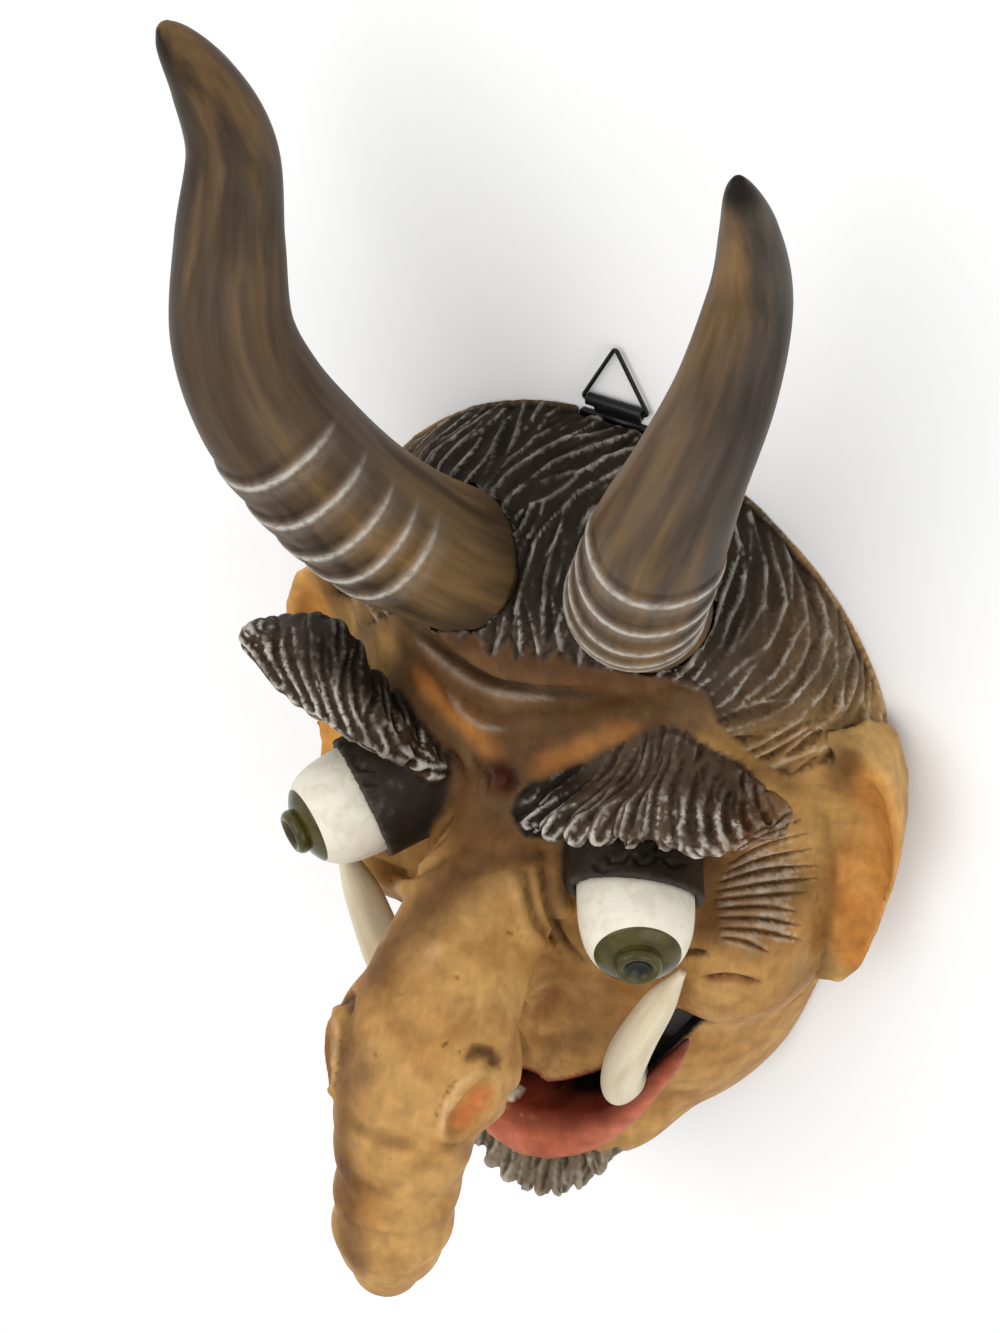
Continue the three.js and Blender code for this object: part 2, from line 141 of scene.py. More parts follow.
class Form:
    """A shape that a block can gain or lose."""

    def reach(self) -> Pair:
        """The lowest and highest corner of the form."""
        raise NotImplementedError

    def distance(self, x: Array, y: Array, z: Array) -> Array:
        """The signed distance to the form.

        Args:
            x: The places across the face.
            y: The places up it.
            z: The places out of it.

        Returns:
            The distance at each place, negative inside.
        """
        raise NotImplementedError


@dataclass(frozen=True)
class Ball(Form):
    """A ball stretched to three half sizes, with another half height below its middle if one is given."""

    centre: Point
    half: Point
    below: float = 0.0
    power: float = 2.0
    lean: float = 0.0

    def reach(self) -> Pair:
        """The lowest and highest corner of the ball."""
        centre, half = np.array(self.centre), np.array(self.half)
        drop = np.array((half[0], self.below or half[1], half[2]))
        return centre - drop - (10 if self.lean else 0), centre + half

    def distance(self, x: Array, y: Array, z: Array) -> Array:
        """The signed distance to the ball, negative inside."""
        dy = y - self.centre[1]
        dx = x - self.centre[0] + self.lean * np.maximum(dy, 0)
        hy = np.where(dy > 0, self.half[1], self.below or self.half[1])
        shares = [np.abs(dx) / self.half[0], np.abs(dy) / hy, np.abs(z - self.centre[2]) / self.half[2]]
        power = self.power
        total = shares[0] ** power + shares[1] ** power + shares[2] ** power
        slopes = [(shares[i] ** (power - 1) / h) ** 2 for i, h in enumerate((self.half[0], hy, self.half[2]))]
        level = np.maximum(total, 1e-6) ** (1 / power)
        steep = np.sqrt(slopes[0] + slopes[1] + slopes[2] + 1e-12) * level ** (1 - power)
        return (level - 1) / steep


@dataclass(frozen=True)
class Limb(Form):
    """A tube along a smooth line of rows (x, y, z, radius), squeezed across its up direction."""

    line: Rows
    squeeze: float = 1.0
    up: Point = (0.0, 1.0, 0.0)
    step: float = 7.0

    def rows(self) -> Array:
        """The sampled line."""
        return smooth_line(self.line, self.step)

    def reach(self) -> Pair:
        """The lowest and highest corner of the tube."""
        rows = self.rows()
        wide = rows[:, 3:] * max(1.0, self.squeeze)
        return (rows[:, :3] - wide).min(0), (rows[:, :3] + wide).max(0)

    def distance(self, x: Array, y: Array, z: Array) -> Array:
        """The signed distance to the tube, negative inside."""
        rows = self.rows()
        best = None
        for start, end in zip(rows[:-1], rows[1:]):
            along = end[:3] - start[:3]
            px, py, pz = x - start[0], y - start[1], z - start[2]
            t = np.clip((px * along[0] + py * along[1] + pz * along[2]) / (along @ along), 0, 1)
            ox, oy, oz = px - t * along[0], py - t * along[1], pz - t * along[2]
            radius = start[3] + t * (end[3] - start[3])
            square = ox * ox + oy * oy + oz * oz
            if self.squeeze != 1.0:
                ahead = along / np.linalg.norm(along)
                rise = np.array(self.up) - ahead * (np.array(self.up) @ ahead)
                side = np.cross(ahead, rise / np.linalg.norm(rise))
                part = ox * side[0] + oy * side[1] + oz * side[2]
                square = square + part * part * (1 / self.squeeze**2 - 1)
            made = np.sqrt(square) - radius
            best = made if best is None else np.minimum(best, made)
        return best * min(1.0, self.squeeze)


@dataclass(frozen=True)
class EyeForm(Form):
    """A round stub with the front of an egg, cut off slantwise: the lids of an eye, or its socket."""

    centre: Point
    axis: Point
    radius: float
    length: float
    foot: float
    front: float
    slant: float = 0.0
    skew: float = 0.0
    power: float = 3.1

    def reach(self) -> Pair:
        """The lowest and highest corner of the form."""
        far = self.radius + max(self.foot, self.length)
        return np.array(self.centre) - far, np.array(self.centre) + far

    def distance(self, x: Array, y: Array, z: Array) -> Array:
        """The signed distance to the form, negative inside."""
        axis = unit(np.array(self.axis, float))
        rise = unit(np.array((0.0, 1.0, 0.0)) - axis * axis[1])
        px, py, pz = x - self.centre[0], y - self.centre[1], z - self.centre[2]
        height = px * axis[0] + py * axis[1] + pz * axis[2]
        up = px * rise[0] + py * rise[1] + pz * rise[2]
        outer = np.cross(rise, axis) * math.copysign(1.0, axis[0])
        beside = px * outer[0] + py * outer[1] + pz * outer[2]
        out = np.sqrt(np.maximum(px * px + py * py + pz * pz - height * height, 0))
        power = self.power
        egg = ((out / self.radius) ** power + (np.maximum(height, 0) / self.length) ** power) ** (1 / power)
        cut = np.maximum(-self.foot - height, 0.9 * (height - self.front - self.slant * up - self.skew * beside))
        return np.maximum((egg - 1) * self.radius, cut)


@dataclass(frozen=True)
class Prism(Form):
    """A plan outline between two heights. Its outline shrinks towards the lower one by the given share."""

    outline: Rows
    bottom: float
    top: float
    taper: float = 1.0
    round: float = 1.5

    def reach(self) -> Pair:
        """The lowest and highest corner of the prism."""
        plan = np.array(self.outline)
        return np.array([*plan.min(0), self.bottom]), np.array([*plan.max(0), self.top])

    def distance(self, x: Array, y: Array, z: Array) -> Array:
        """The signed distance to the prism, negative inside."""
        share = 1 + (self.taper - 1) * np.clip((self.top - z) / (self.top - self.bottom), 0, 1)
        flat = plan_distance(np.array(self.outline), x / share, y + 0 * share)
        tall = np.maximum(z - self.top, self.bottom - z)
        return soft_max(flat, tall, 2 * self.round)


@dataclass(frozen=True)
class Slot(Form):
    """A groove that goes right through in height, along a plan line of rows (x, y, half width)."""

    line: Rows
    bottom: float
    top: float

    def reach(self) -> Pair:
        """The lowest and highest corner of the groove."""
        rows = np.array(self.line)
        wide = rows[:, 2].max()
        return np.array([*(rows[:, :2].min(0) - wide), self.bottom]), np.array([*(rows[:, :2].max(0) + wide), self.top])

    def distance(self, x: Array, y: Array, z: Array) -> Array:
        """The signed distance to the groove, negative inside."""
        rows = smooth_line([(px, py, 0, wide) for px, py, wide in self.line], 6.0)
        flat = Limb(tuple(map(tuple, rows)), step=8.0).distance(x, y, 0 * z)
        return np.maximum(flat, np.maximum(z - self.top, self.bottom - z))


def plan_distance(outline: Array, x: Array, y: Array) -> Array:
    """The signed distance in plan to a closed outline.

    Args:
        outline: Its corners.
        x: The places across.
        y: The places upwards.

    Returns:
        The distance at each place, negative inside.
    """
    best = np.full(np.broadcast(x, y).shape, 1e9, np.float32)
    inside = np.zeros(best.shape, bool)
    for (x0, y0), (x1, y1) in zip(outline, np.roll(outline, -1, axis=0)):
        ex, ey = x1 - x0, y1 - y0
        t = np.clip(((x - x0) * ex + (y - y0) * ey) / (ex * ex + ey * ey), 0, 1)
        best = np.minimum(best, (x - x0 - t * ex) ** 2 + (y - y0 - t * ey) ** 2)
        if y0 != y1:
            inside ^= ((y0 > y) != (y1 > y)) & (x < (x1 - x0) * (y - y0) / (y1 - y0) + x0)
    return np.where(inside, -1.0, 1.0) * np.sqrt(best)


def soft_min(a: Array, b: Array, blend: float) -> Array:
    """The smaller of two distances, rounded over where they are within blend of each other."""
    if blend <= 0:
        return np.minimum(a, b)
    h = np.clip(0.5 + 0.5 * (b - a) / blend, 0, 1)
    return b + (a - b) * h - blend * h * (1 - h)


def soft_max(a: Array, b: Array, blend: float) -> Array:
    """The larger of two distances, rounded over where they are within blend of each other."""
    return -soft_min(-a, -b, blend)


@dataclass(frozen=True)
class Both(Form):
    """What two forms have in common."""

    first: Form
    second: Form
    blend: float = 0.0

    def reach(self) -> Pair:
        """The corners of the first form."""
        return self.first.reach()

    def distance(self, x: Array, y: Array, z: Array) -> Array:
        """The signed distance to the common part, negative inside."""
        return soft_max(self.first.distance(x, y, z), self.second.distance(x, y, z), self.blend)


class Block:
    """A solid held as signed distances on an even grid."""

    def __init__(self, low: Point, high: Point, pitch: float) -> None:
        """Starts an empty grid.

        Args:
            low: The lowest corner.
            high: The highest corner.
            pitch: The grid's step.
        """
        self.pitch = pitch
        self.low = np.array(low, float)
        counts = np.ceil((np.array(high) - self.low) / pitch).astype(int) + 1
        self.axes = [self.low[i] + pitch * np.arange(counts[i]) for i in range(3)]
        self.values = np.full(counts, 40.0, np.float32)

    def _window(self, form: Form, margin: float) -> tuple[tuple[slice, ...], list[Array]]:
        """Finds the part of the grid that a form can change.

        Args:
            form: The form.
            margin: How far beyond its reach the form still counts.

        Returns:
            The slices of the part, and its coordinates along each axis.
        """
        low, high = form.reach()
        cuts, axes = [], []
        for i in range(3):
            first = max(0, int((low[i] - margin - self.low[i]) / self.pitch))
            last = min(len(self.axes[i]), int((high[i] + margin - self.low[i]) / self.pitch) + 2)
            cuts.append(slice(first, last))
            shape = [1, 1, 1]
            shape[i] = -1
            axes.append(self.axes[i][first:last].astype(np.float32).reshape(shape))
        return tuple(cuts), axes

    def add(self, form: Form, blend: float = 0.0) -> None:
        """Joins a form to the solid, with a fillet of about blend."""
        cuts, axes = self._window(form, blend + 3 * self.pitch + 4)
        self.values[cuts] = soft_min(self.values[cuts], form.distance(*axes).astype(np.float32), blend)

    def cut(self, form: Form, blend: float = 0.0) -> None:
        """Takes a form out of the solid, with an edge rounded by about blend."""
        cuts, axes = self._window(form, blend + 3 * self.pitch + 4)
        self.values[cuts] = soft_max(self.values[cuts], -form.distance(*axes).astype(np.float32), blend)

    def at(self, points: Array) -> Array:
        """The distance at any points, read between the grid's own.

        Args:
            points: The points.

        Returns:
            A distance for each.
        """
        place = (points - self.low) / self.pitch
        top = np.array(self.values.shape) - 2
        whole = np.clip(np.floor(place).astype(int), 0, top)
        part = np.clip(place - whole, 0, 1)
        total = np.zeros(len(points))
        for corner in np.ndindex(2, 2, 2):
            weight = np.prod(np.where(corner, part, 1 - part), axis=1)
            total += weight * self.values[tuple((whole + corner).T)]
        return total

    def slope(self, points: Array) -> Array:
        """The way out of the solid.

        Args:
            points: The points.

        Returns:
            A direction for each.
        """
        parts = []
        for i in range(3):
            step = np.zeros(3)
            step[i] = 0.8 * self.pitch
            parts.append(self.at(points + step) - self.at(points - step))
        return unit(np.stack(parts, axis=1))

    def settle(self, points: Array, rounds: int = 2) -> Array:
        """Moves points on to the surface."""
        for _ in range(rounds):
            points = points - self.slope(points) * np.clip(self.at(points), -3, 3)[:, None]
        return points

    def skin(self) -> Pair:
        """Wraps the surface in a mesh with one point in each grid cell that it crosses.

        Returns:
            The points and the triangles.
        """
        inside = self.values < 0
        cells = np.array(inside.shape) - 1
        count = np.zeros(cells, np.uint8)
        for corner in np.ndindex(2, 2, 2):
            cut = tuple(slice(c, c + n) for c, n in zip(corner, cells))
            count += inside[cut]
        active = np.argwhere((count > 0) & (count < 8))
        number = np.full(cells, -1, np.int32)
        number[tuple(active.T)] = np.arange(len(active))
        corners = {c: self.values[tuple((active + c).T)] for c in np.ndindex(2, 2, 2)}
        total, hits = np.zeros((len(active), 3)), np.zeros(len(active))
        for axis in range(3):
            for c in np.ndindex(2, 2, 2):
                if c[axis]:
                    continue
                far = tuple(1 if i == axis else v for i, v in enumerate(c))
                a, b = corners[c], corners[far]
                crossed = (a < 0) != (b < 0)
                t = np.where(crossed, a / np.where(crossed, a - b, 1), 0)
                spot = np.tile(np.array(c, float), (len(active), 1))
                spot[:, axis] = t
                total += spot * crossed[:, None]
                hits += crossed
        points = self.low + self.pitch * (active + total / hits[:, None])
        quads = []
        for a in range(3):
            b, c = (a + 1) % 3, (a + 2) % 3
            lower = tuple(slice(0, -1) if i == a else slice(1, -1) for i in range(3))
            upper = tuple(slice(1, None) if i == a else slice(1, -1) for i in range(3))
            first = inside[lower]
            edge = np.argwhere(first != inside[upper])
            out = first[tuple(edge.T)]
            for i in (b, c):
                edge[:, i] += 1
            steps = np.zeros((4, 3), int)
            steps[[0, 3], b] = steps[[0, 1], c] = -1
            four = np.stack([number[tuple((edge + step).T)] for step in steps], axis=1)
            quads.append(np.where(out[:, None], four, four[:, ::-1]))
        four = np.vstack(quads)
        p = points[four]
        across = np.linalg.norm(p[:, 0] - p[:, 2], axis=1) <= np.linalg.norm(p[:, 1] - p[:, 3], axis=1)
        one = np.where(across[:, None], four[:, [0, 1, 2]], four[:, [0, 1, 3]])
        two = np.where(across[:, None], four[:, [0, 2, 3]], four[:, [1, 2, 3]])
        return points, np.vstack([one, two])


def refined(points: Array, faces: Array, wanted: Array) -> tuple[Array, Array, Array]:
    """Halves the edges of a mesh whose two ends are both wanted finer.

    Args:
        points: The mesh's points.
        faces: Its triangles.
        wanted: For each point, whether the mesh is to be finer there.

    Returns:
        The points with the new ones last, the triangles, and the numbers of the new points.
    """
    edges = np.sort(np.vstack([faces[:, [0, 1]], faces[:, [1, 2]], faces[:, [2, 0]]]), axis=1)
    keys, which = np.unique(edges[:, 0].astype(np.int64) * len(points) + edges[:, 1], return_inverse=True)
    ends = np.stack([keys // len(points), keys % len(points)], axis=1)
    split = wanted[ends[:, 0]] & wanted[ends[:, 1]]
    number = np.full(len(keys), -1, np.int64)
    number[split] = len(points) + np.arange(split.sum())
    middle = number[which.reshape(3, -1).T]
    made = []
    plans = {
        (0, 0, 0): ((0, 1, 2),), (1, 0, 0): ((0, 3, 2), (3, 1, 2)), (1, 1, 0): ((0, 3, 2), (3, 4, 2), (3, 1, 4)),
        (1, 1, 1): ((0, 3, 5), (3, 1, 4), (5, 4, 2), (3, 4, 5)),
    }
    for plan, tris in plans.items():
        for turn in range(3 if plan in ((1, 0, 0), (1, 1, 0)) else 1):
            order = np.roll(np.arange(3), -turn)
            f, m = faces[:, order], middle[:, order]
            match = ((m >= 0) == np.array(plan, bool)).all(1)
            if match.any():
                six = np.hstack([f[match], m[match]])
                made.extend(six[:, list(tri)] for tri in tris)
    new = (points[ends[split, 0]] + points[ends[split, 1]]) / 2
    return np.vstack([points, new]), np.vstack(made), len(points) + np.arange(len(new))


class Sight:
    """The camera's place and axes, which turn spots of the picture into places on the carved wood."""

    PLACE = np.array((396.867, 649.629, 721.303))
    RIGHT = np.array((0.861914, -0.023217, -0.506522))
    UP = np.array((-0.299825, 0.782264, -0.546048))
    BACK = np.array((0.408912, 0.622515, 0.667283))
    FOCUS = 3250.0
    SIZE = (1000.0, 1333.0)
    SENSOR = 36.0
    PIXELS_PER_MM = 3.1
    START = 830.0
    STRIDE = (0.1, 2.5)
    TOUCH = 0.05
    MOST_STEPS = 260

    @classmethod
    def lift(cls, block: Block, spots: Sequence[float], step: float = 3.0) -> Array:
        """Casts a line of spots on to the block.

        Args:
            block: The carved block.
            spots: Places in the picture, x and y of each in turn.
            step: The distance wanted between the points of the line, in about millimetres.

        Returns:
            The points of the line on the surface.
        """
        rows = [(x, y, 0.0) for x, y in zip(spots[::2], spots[1::2])]
        flat = smooth_line(rows, step * cls.PIXELS_PER_MM)[:, :2]
        x = (flat[:, 0] - cls.SIZE[0] / 2) / cls.FOCUS
        y = (cls.SIZE[1] / 2 - flat[:, 1]) / cls.FOCUS
        rays = unit(x[:, None] * cls.RIGHT + y[:, None] * cls.UP - cls.BACK)
        points = cls.PLACE + rays * cls.START
        going = np.ones(len(points), bool)
        for _ in range(cls.MOST_STEPS):
            value = block.at(points)
            going &= value > cls.TOUCH
            if not going.any():
                break
            points[going] += rays[going] * np.clip(value[going] * 0.7, *cls.STRIDE)[:, None]
        return points[~going] if (~going).sum() > 1 else points


# Tools that cut, raise and paint along lines on the wood


class Profile(Enum):
    """The section that a tool leaves."""

    GOUGE = "round bottomed"
    VEE = "sharp bottomed"
    SWELL = "soft sided"

    def shape(self, share: Array) -> Array:
        """The form of the section.

        Args:
            share: How far out each point is, as a share of the half width.

        Returns:
            The depth there, 1 in the middle and 0 at the edge.
        """
        share = np.clip(share, 0, 1)
        if self is Profile.GOUGE:
            return 1 - share**2
        if self is Profile.VEE:
            return 1 - share
        return (1 - share**2) ** 2


class Taper(Enum):
    """How a cut narrows towards its ends."""

    LEAF = "both ends pointed"
    LOCK = "thin at the root and blunt at the tip"
    EVEN = "short round ends"

    def width(self, t: Array) -> Array:
        """The share of the full width that a cut has.

        Args:
            t: How far along the cut each point is, from 0 to 1.

        Returns:
            The share there.
        """
        t = np.clip(t, 0, 1)
        if self is Taper.LEAF:
            return np.sin(np.pi * t) ** 0.7
        if self is Taper.LOCK:
            return (0.25 + 0.75 * t**0.6) * np.clip((1 - t) * 9, 0, 1) ** 0.5 * np.clip(t * 12, 0, 1)
        return np.clip(np.minimum(t, 1 - t) * 6, 0, 1) ** 0.5


@dataclass(frozen=True)
class Cut:
    """One pass of a tool: its half width and depth in millimetres."""

    half_width: float
    depth: float
    profile: Profile = Profile.GOUGE
    taper: Taper = Taper.LEAF


class Bench:
    """Holds a skin's points so that a tool finds those near its path."""

    CELL = 5.0

    def __init__(self, points: Array) -> None:
        """Sorts the points into cells.

        Args:
            points: The points that a tool may reach.
        """
        self.points = points
        self.low = points.min(0) - 1
        self.counts = ((points.max(0) - self.low) / self.CELL).astype(int) + 2
        cell = ((points - self.low) / self.CELL).astype(int)
        keys = (cell[:, 0] * self.counts[1] + cell[:, 1]) * self.counts[2] + cell[:, 2]
        self.order = np.argsort(keys, kind="stable")
        self.keys = keys[self.order]

    def near(self, low: Array, high: Array) -> Array:
        """Finds the points in the cells between two corners.

        Args:
            low: The lowest corner.
            high: The highest corner.

        Returns:
            The numbers of the points.
        """
        first = np.maximum(((low - self.low) / self.CELL).astype(int), 0)
        last = np.minimum(((high - self.low) / self.CELL).astype(int), self.counts - 1)
        if (last < first).any():
            return np.zeros(0, int)
        i, j = np.meshgrid(np.arange(first[0], last[0] + 1), np.arange(first[1], last[1] + 1), indexing="ij")
        base = (i.ravel() * self.counts[1] + j.ravel()) * self.counts[2]
        starts = np.searchsorted(self.keys, base + first[2])
        ends = np.searchsorted(self.keys, base + last[2] + 1)
        found = [self.order[a:b] for a, b in zip(starts, ends) if b > a]
        return np.concatenate(found) if found else np.zeros(0, int)

    def press(self, target: Array, path: Array, cut: Cut) -> None:
        """Adds one pass of a tool to a depth map, deepest cut winning.

        Args:
            target: The depth at each point, changed in place.
            path: The tool's path.
            cut: The tool.
        """
        spans = len(path) - 1
        for i in range(spans):
            a, b = path[i], path[i + 1]
            found = self.near(np.minimum(a, b) - cut.half_width, np.maximum(a, b) + cut.half_width)
            if not len(found):
                continue
            p, along = self.points[found] - a, b - a
            t = np.clip(p @ along / max(along @ along, 1e-9), 0, 1)
            gap = np.linalg.norm(p - t[:, None] * along, axis=1)
            narrow = cut.taper.width((i + t) / spans)
            value = cut.depth * narrow * cut.profile.shape(gap / np.maximum(cut.half_width * narrow, 1e-3))
            target[found] = np.maximum(target[found], value)


@dataclass
class Comb:
    """The lie of the hair, given by a few combed lines."""

    lines: list[Array]

    def __post_init__(self) -> None:
        """Gathers the places and directions of the lines."""
        self.places = np.vstack([(line[1:] + line[:-1]) / 2 for line in self.lines])
        self.ways = np.vstack([unit(np.diff(line, axis=0)) for line in self.lines])

    def way(self, points: Array) -> Array:
        """The direction of the hair at each point."""
        gaps = ((points[:, None] - self.places[None]) ** 2).sum(2)
        weights = 1 / (gaps + 6.0) ** 2
        return unit(weights @ self.ways)

    def strands(self, block: Block, roots: Array, lengths: Array, steps: int = 8) -> Array:
        """Draws a strand through each root, half of it on either side.

        Args:
            block: The block whose surface the strands lie on.
            roots: The middle of each strand.
            lengths: How long each one is.
            steps: The number of spans in a strand, even.

        Returns:
            An array of strands, points and coordinates.
        """
        halves = []
        for sign in (-1, 1):
            here, half = roots.copy(), []
            for _ in range(steps // 2):
                out = block.slope(here)
                way = self.way(here)
                way = unit(way - out * (way * out).sum(1, keepdims=True))
                here = block.settle(here + sign * way * (lengths / steps)[:, None], 1)
                half.append(here)
            halves.append(half)
        return np.stack(halves[0][::-1] + [roots] + halves[1], axis=1)


def scattered(points: Array, gap: float, seed: int) -> Array:
    """Picks points that are no closer together than gap.

    Args:
        points: The points to pick from.
        gap: The least distance.
        seed: Makes the choice the same each time.

    Returns:
        The numbers of the picked points.
    """
    order = np.random.default_rng(seed).permutation(len(points))
    cells = np.floor(points / gap).astype(int)
    held: dict[tuple[int, int, int], list[int]] = {}
    picked = []
    for n in order:
        c = cells[n]
        close = (
            m
            for i in (-1, 0, 1)
            for j in (-1, 0, 1)
            for k in (-1, 0, 1)
            for m in held.get((c[0] + i, c[1] + j, c[2] + k), ())
        )
        if all(((points[m] - points[n]) ** 2).sum() >= gap * gap for m in close):
            held.setdefault((c[0], c[1], c[2]), []).append(n)
            picked.append(n)
    return np.array(picked)


@dataclass(frozen=True)
class Cluster(Form):
    """Several forms melted into one."""

    forms: tuple[Form, ...]
    blend: float

    def reach(self) -> Pair:
        """The lowest and highest corner of all the forms."""
        ends = [form.reach() for form in self.forms]
        return np.min([low for low, _ in ends], axis=0), np.max([high for _, high in ends], axis=0)

    def distance(self, x: Array, y: Array, z: Array) -> Array:
        """The signed distance to the melted form, negative inside."""
        best = self.forms[0].distance(x, y, z)
        for form in self.forms[1:]:
            best = soft_min(best, form.distance(x, y, z), self.blend)
        return best


@dataclass(frozen=True)
class Brow:
    """One side's bushy brow: a fan of locks, each a row of its root and its tip, on a bed that carries them."""

    bed: Rows
    ends: Rows
    side: int
    radii: tuple[float, float, float] = (4.8, 5.8, 4.2)

    def locks(self) -> list[Limb]:
        """Shapes the locks.

        Returns:
            The locks, from the inner end to the outer.
        """
        limbs = []
        for n, row in enumerate(self.ends):
            root, tip = row[:3], row[3:]
            middle = 0.45 * np.array(root) + 0.55 * np.array(tip) + (0, 1.5, 2.5)
            slim = 1 - 0.22 * max(0, n - 9) / 3
            foot, belly, end = (slim * radius for radius in self.radii)
            limbs.append(Limb(((*root, foot), (*middle, belly), (*tip, end)), step=5.0))
        return limbs

    def form(self) -> Cluster:
        """The whole brow."""
        return Cluster((Limb(self.bed), *self.locks()), 2.0)

    def rim(self, points: Array) -> Array:
        """How close each point is to the row of tips, from 0 to 1."""
        row = Limb(tuple((*ends[3:], 0.0) for ends in self.ends))
        return ease(17, 5, row.distance(*points.T))

    def lines(self, block: Block) -> list[Array]:
        """Draws a line down the front of every lock.

        Args:
            block: The block that carries them.

        Returns:
            The lines, on the surface.
        """
        front = unit(np.array((0.2 * self.side, 0.55, 0.8)))
        found = []
        for lock in self.locks():
            rows = lock.rows()
            rows = np.vstack([rows, rows[-1] + 0.7 * (rows[-1] - rows[-2])])
            found.append(block.settle(rows[:, :3] + (rows[:, 3:] + 0.5) * front, 4))
        return found


LEFT_BROW = Brow(
    (
        (-36, -17.4, 58, 4.5), (-49.7, -15.4, 54, 6.5), (-64.9, -10.7, 51, 8.5), (-79.1, -6.1, 50, 9.5),
        (-89, -1.9, 52, 8.5), (-95.3, 5.6, 58, 6),
    ),
    (
        (-34, -9.4, 62, -26.3, -6.7, 72), (-40.4, -5.3, 61, -29.4, -2.5, 75), (-48.1, 0.3, 60, -33.2, 1.4, 78),
        (-55.2, 7.7, 60, -38.1, 3.8, 80), (-63.4, 17.6, 60, -44, 4.9, 81), (-69.9, 22, 59, -49.8, 7.4, 82),
        (-76.7, 21.4, 58, -56.3, 9.6, 82), (-83.6, 17.8, 57, -62.5, 10.5, 81), (-89.5, 15.2, 57, -70, 11.3, 79),
        (-93.6, 13.2, 58, -77.2, 12.8, 77), (-96, 13.6, 60, -83.9, 15.7, 74), (-96.6, 15, 63, -91.3, 17.4, 70),
    ),
    -1,
)
RIGHT_BROW = Brow(
    ((14, -9, 58, 5), (30, 1, 54, 8), (46, 8, 51, 9), (64, 4, 49, 8.5), (84, 9, 57, 6)),
    (
        (17.4, -5.3, 58, 5.4, -11.2, 72), (24.7, 0.6, 57, 11.4, -9.6, 75), (31.1, 5.7, 56, 19.9, -7.3, 78),
        (36.5, 10.8, 55, 29.8, -3.2, 80.5), (40.8, 15, 54, 39.3, 1.2, 82), (44.3, 17.2, 53, 48.4, 5.1, 83),
        (47.6, 17, 52, 56.5, 7.8, 83), (51.5, 13.2, 51, 64, 9, 82), (55.9, 9, 50, 70.3, 9.4, 80),
        (60.8, 4.7, 49.5, 75.7, 10.2, 77), (66.4, 1.9, 49, 80.2, 11, 73), (72.9, 1.4, 49, 84.7, 12.2, 69),
        (79.6, 2.6, 49, 89, 11.7, 65),
    ),
    1,
)


# Paints


@dataclass(frozen=True)
class Palette:
    """The colours on the painter's board, in linear light."""

    ochre: Colour = (0.45, 0.25, 0.082)
    honey: Colour = (0.50, 0.295, 0.105)
    forehead: Colour = (0.115, 0.063, 0.027)
    orange: Colour = (0.36, 0.15, 0.036)
    umber: Colour = (0.095, 0.042, 0.015)
    # Near black, used on the brows and as painted shade in a forehead crease.
    near_black: Colour = (0.010, 0.007, 0.005)
    red_brown: Colour = (0.05, 0.008, 0.002)
    # Used as a painted highlight: greyish white laid on the crests of the forehead rolls.
    greyish_white: Colour = (0.27, 0.24, 0.20)
    temple: Colour = (0.44, 0.25, 0.078)
    roll: Colour = (0.20, 0.105, 0.045)
    terracotta: Colour = (0.60, 0.215, 0.065)
    dimple: Colour = (0.24, 0.07, 0.02)
    blush: Colour = (0.62, 0.39, 0.2)
    ear: Colour = (0.60, 0.27, 0.06)
    ear_rim: Colour = (0.50, 0.31, 0.11)
    hair: Colour = (0.020, 0.014, 0.009)
    hair_side: Colour = (0.15, 0.10, 0.054)
    hair_edge: Colour = (0.085, 0.06, 0.042)
    brow: Colour = (0.085, 0.056, 0.033)
    lid: Colour = (0.027, 0.021, 0.015)
    lip: Colour = (0.52, 0.155, 0.085)
    lip_inside: Colour = (0.17, 0.03, 0.014)
    beard: Colour = (0.205, 0.17, 0.115)
    ivory: Colour = (0.66, 0.6, 0.47)
    raw_wood: Colour = (0.24, 0.15, 0.075)
    # Painted shade: near black, for the deep walls of the mouth's opening.
    mouth_shade: Colour = (0.004, 0.002, 0.002)


PAINTS = Palette()


class Coat:
    """The colour of each point of a skin, laid on in layers."""

    def __init__(self, points: Array, base: Colour) -> None:
        """Lays the first coat.

        Args:
            points: The skin's points.
            base: The colour of the first coat.
        """
        self.points = points
        self.bench = Bench(points)
        self.colour = np.tile(np.array(base), (len(points), 1))

    def wash(self, share: Array, colour: Colour, strength: float = 1.0) -> None:
        """Mixes a colour in, by a share for each point."""
        self.colour += (np.array(colour) - self.colour) * (np.clip(share, 0, 1) * strength)[:, None]

    def pass_over(self, paths: Iterable[Array], half_width: float) -> Array:
        """Passes a soft brush along some paths.

        Args:
            paths: The paths.
            half_width: Half the width of the brush.

        Returns:
            The share of paint left on each point.
        """
        share = np.zeros(len(self.points))
        for path in paths:
            self.bench.press(share, path, Cut(half_width, 1.0, Profile.SWELL, Taper.EVEN))
        return share


@functools.cache
def shift() -> Array:
    """The way from the sculptor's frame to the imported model's, in metres."""
    low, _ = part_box("mask_head")
    return np.array((0.0, low.y + CHIN * MM, 0.0))


def build_mesh(name: str, points: Array, faces: Iterable) -> Piece:
    """Makes an object of points in the sculptor's millimetres.

    Args:
        name: The piece's name.
        points: Its points.
        faces: Its faces, as lists of point numbers.

    Returns:
        The object, smooth shaded.
    """
    mesh = bpy.data.meshes.new(name)
    rows = (np.asarray(points, float) * MM + shift()).tolist()
    mesh.from_pydata(rows, [], [list(map(int, face)) for face in faces])
    mesh.validate()
    mesh.polygons.foreach_set("use_smooth", np.ones(len(mesh.polygons), bool))
    piece = bpy.data.objects.new(name, mesh)
    bpy.context.scene.collection.objects.link(piece)
    return piece


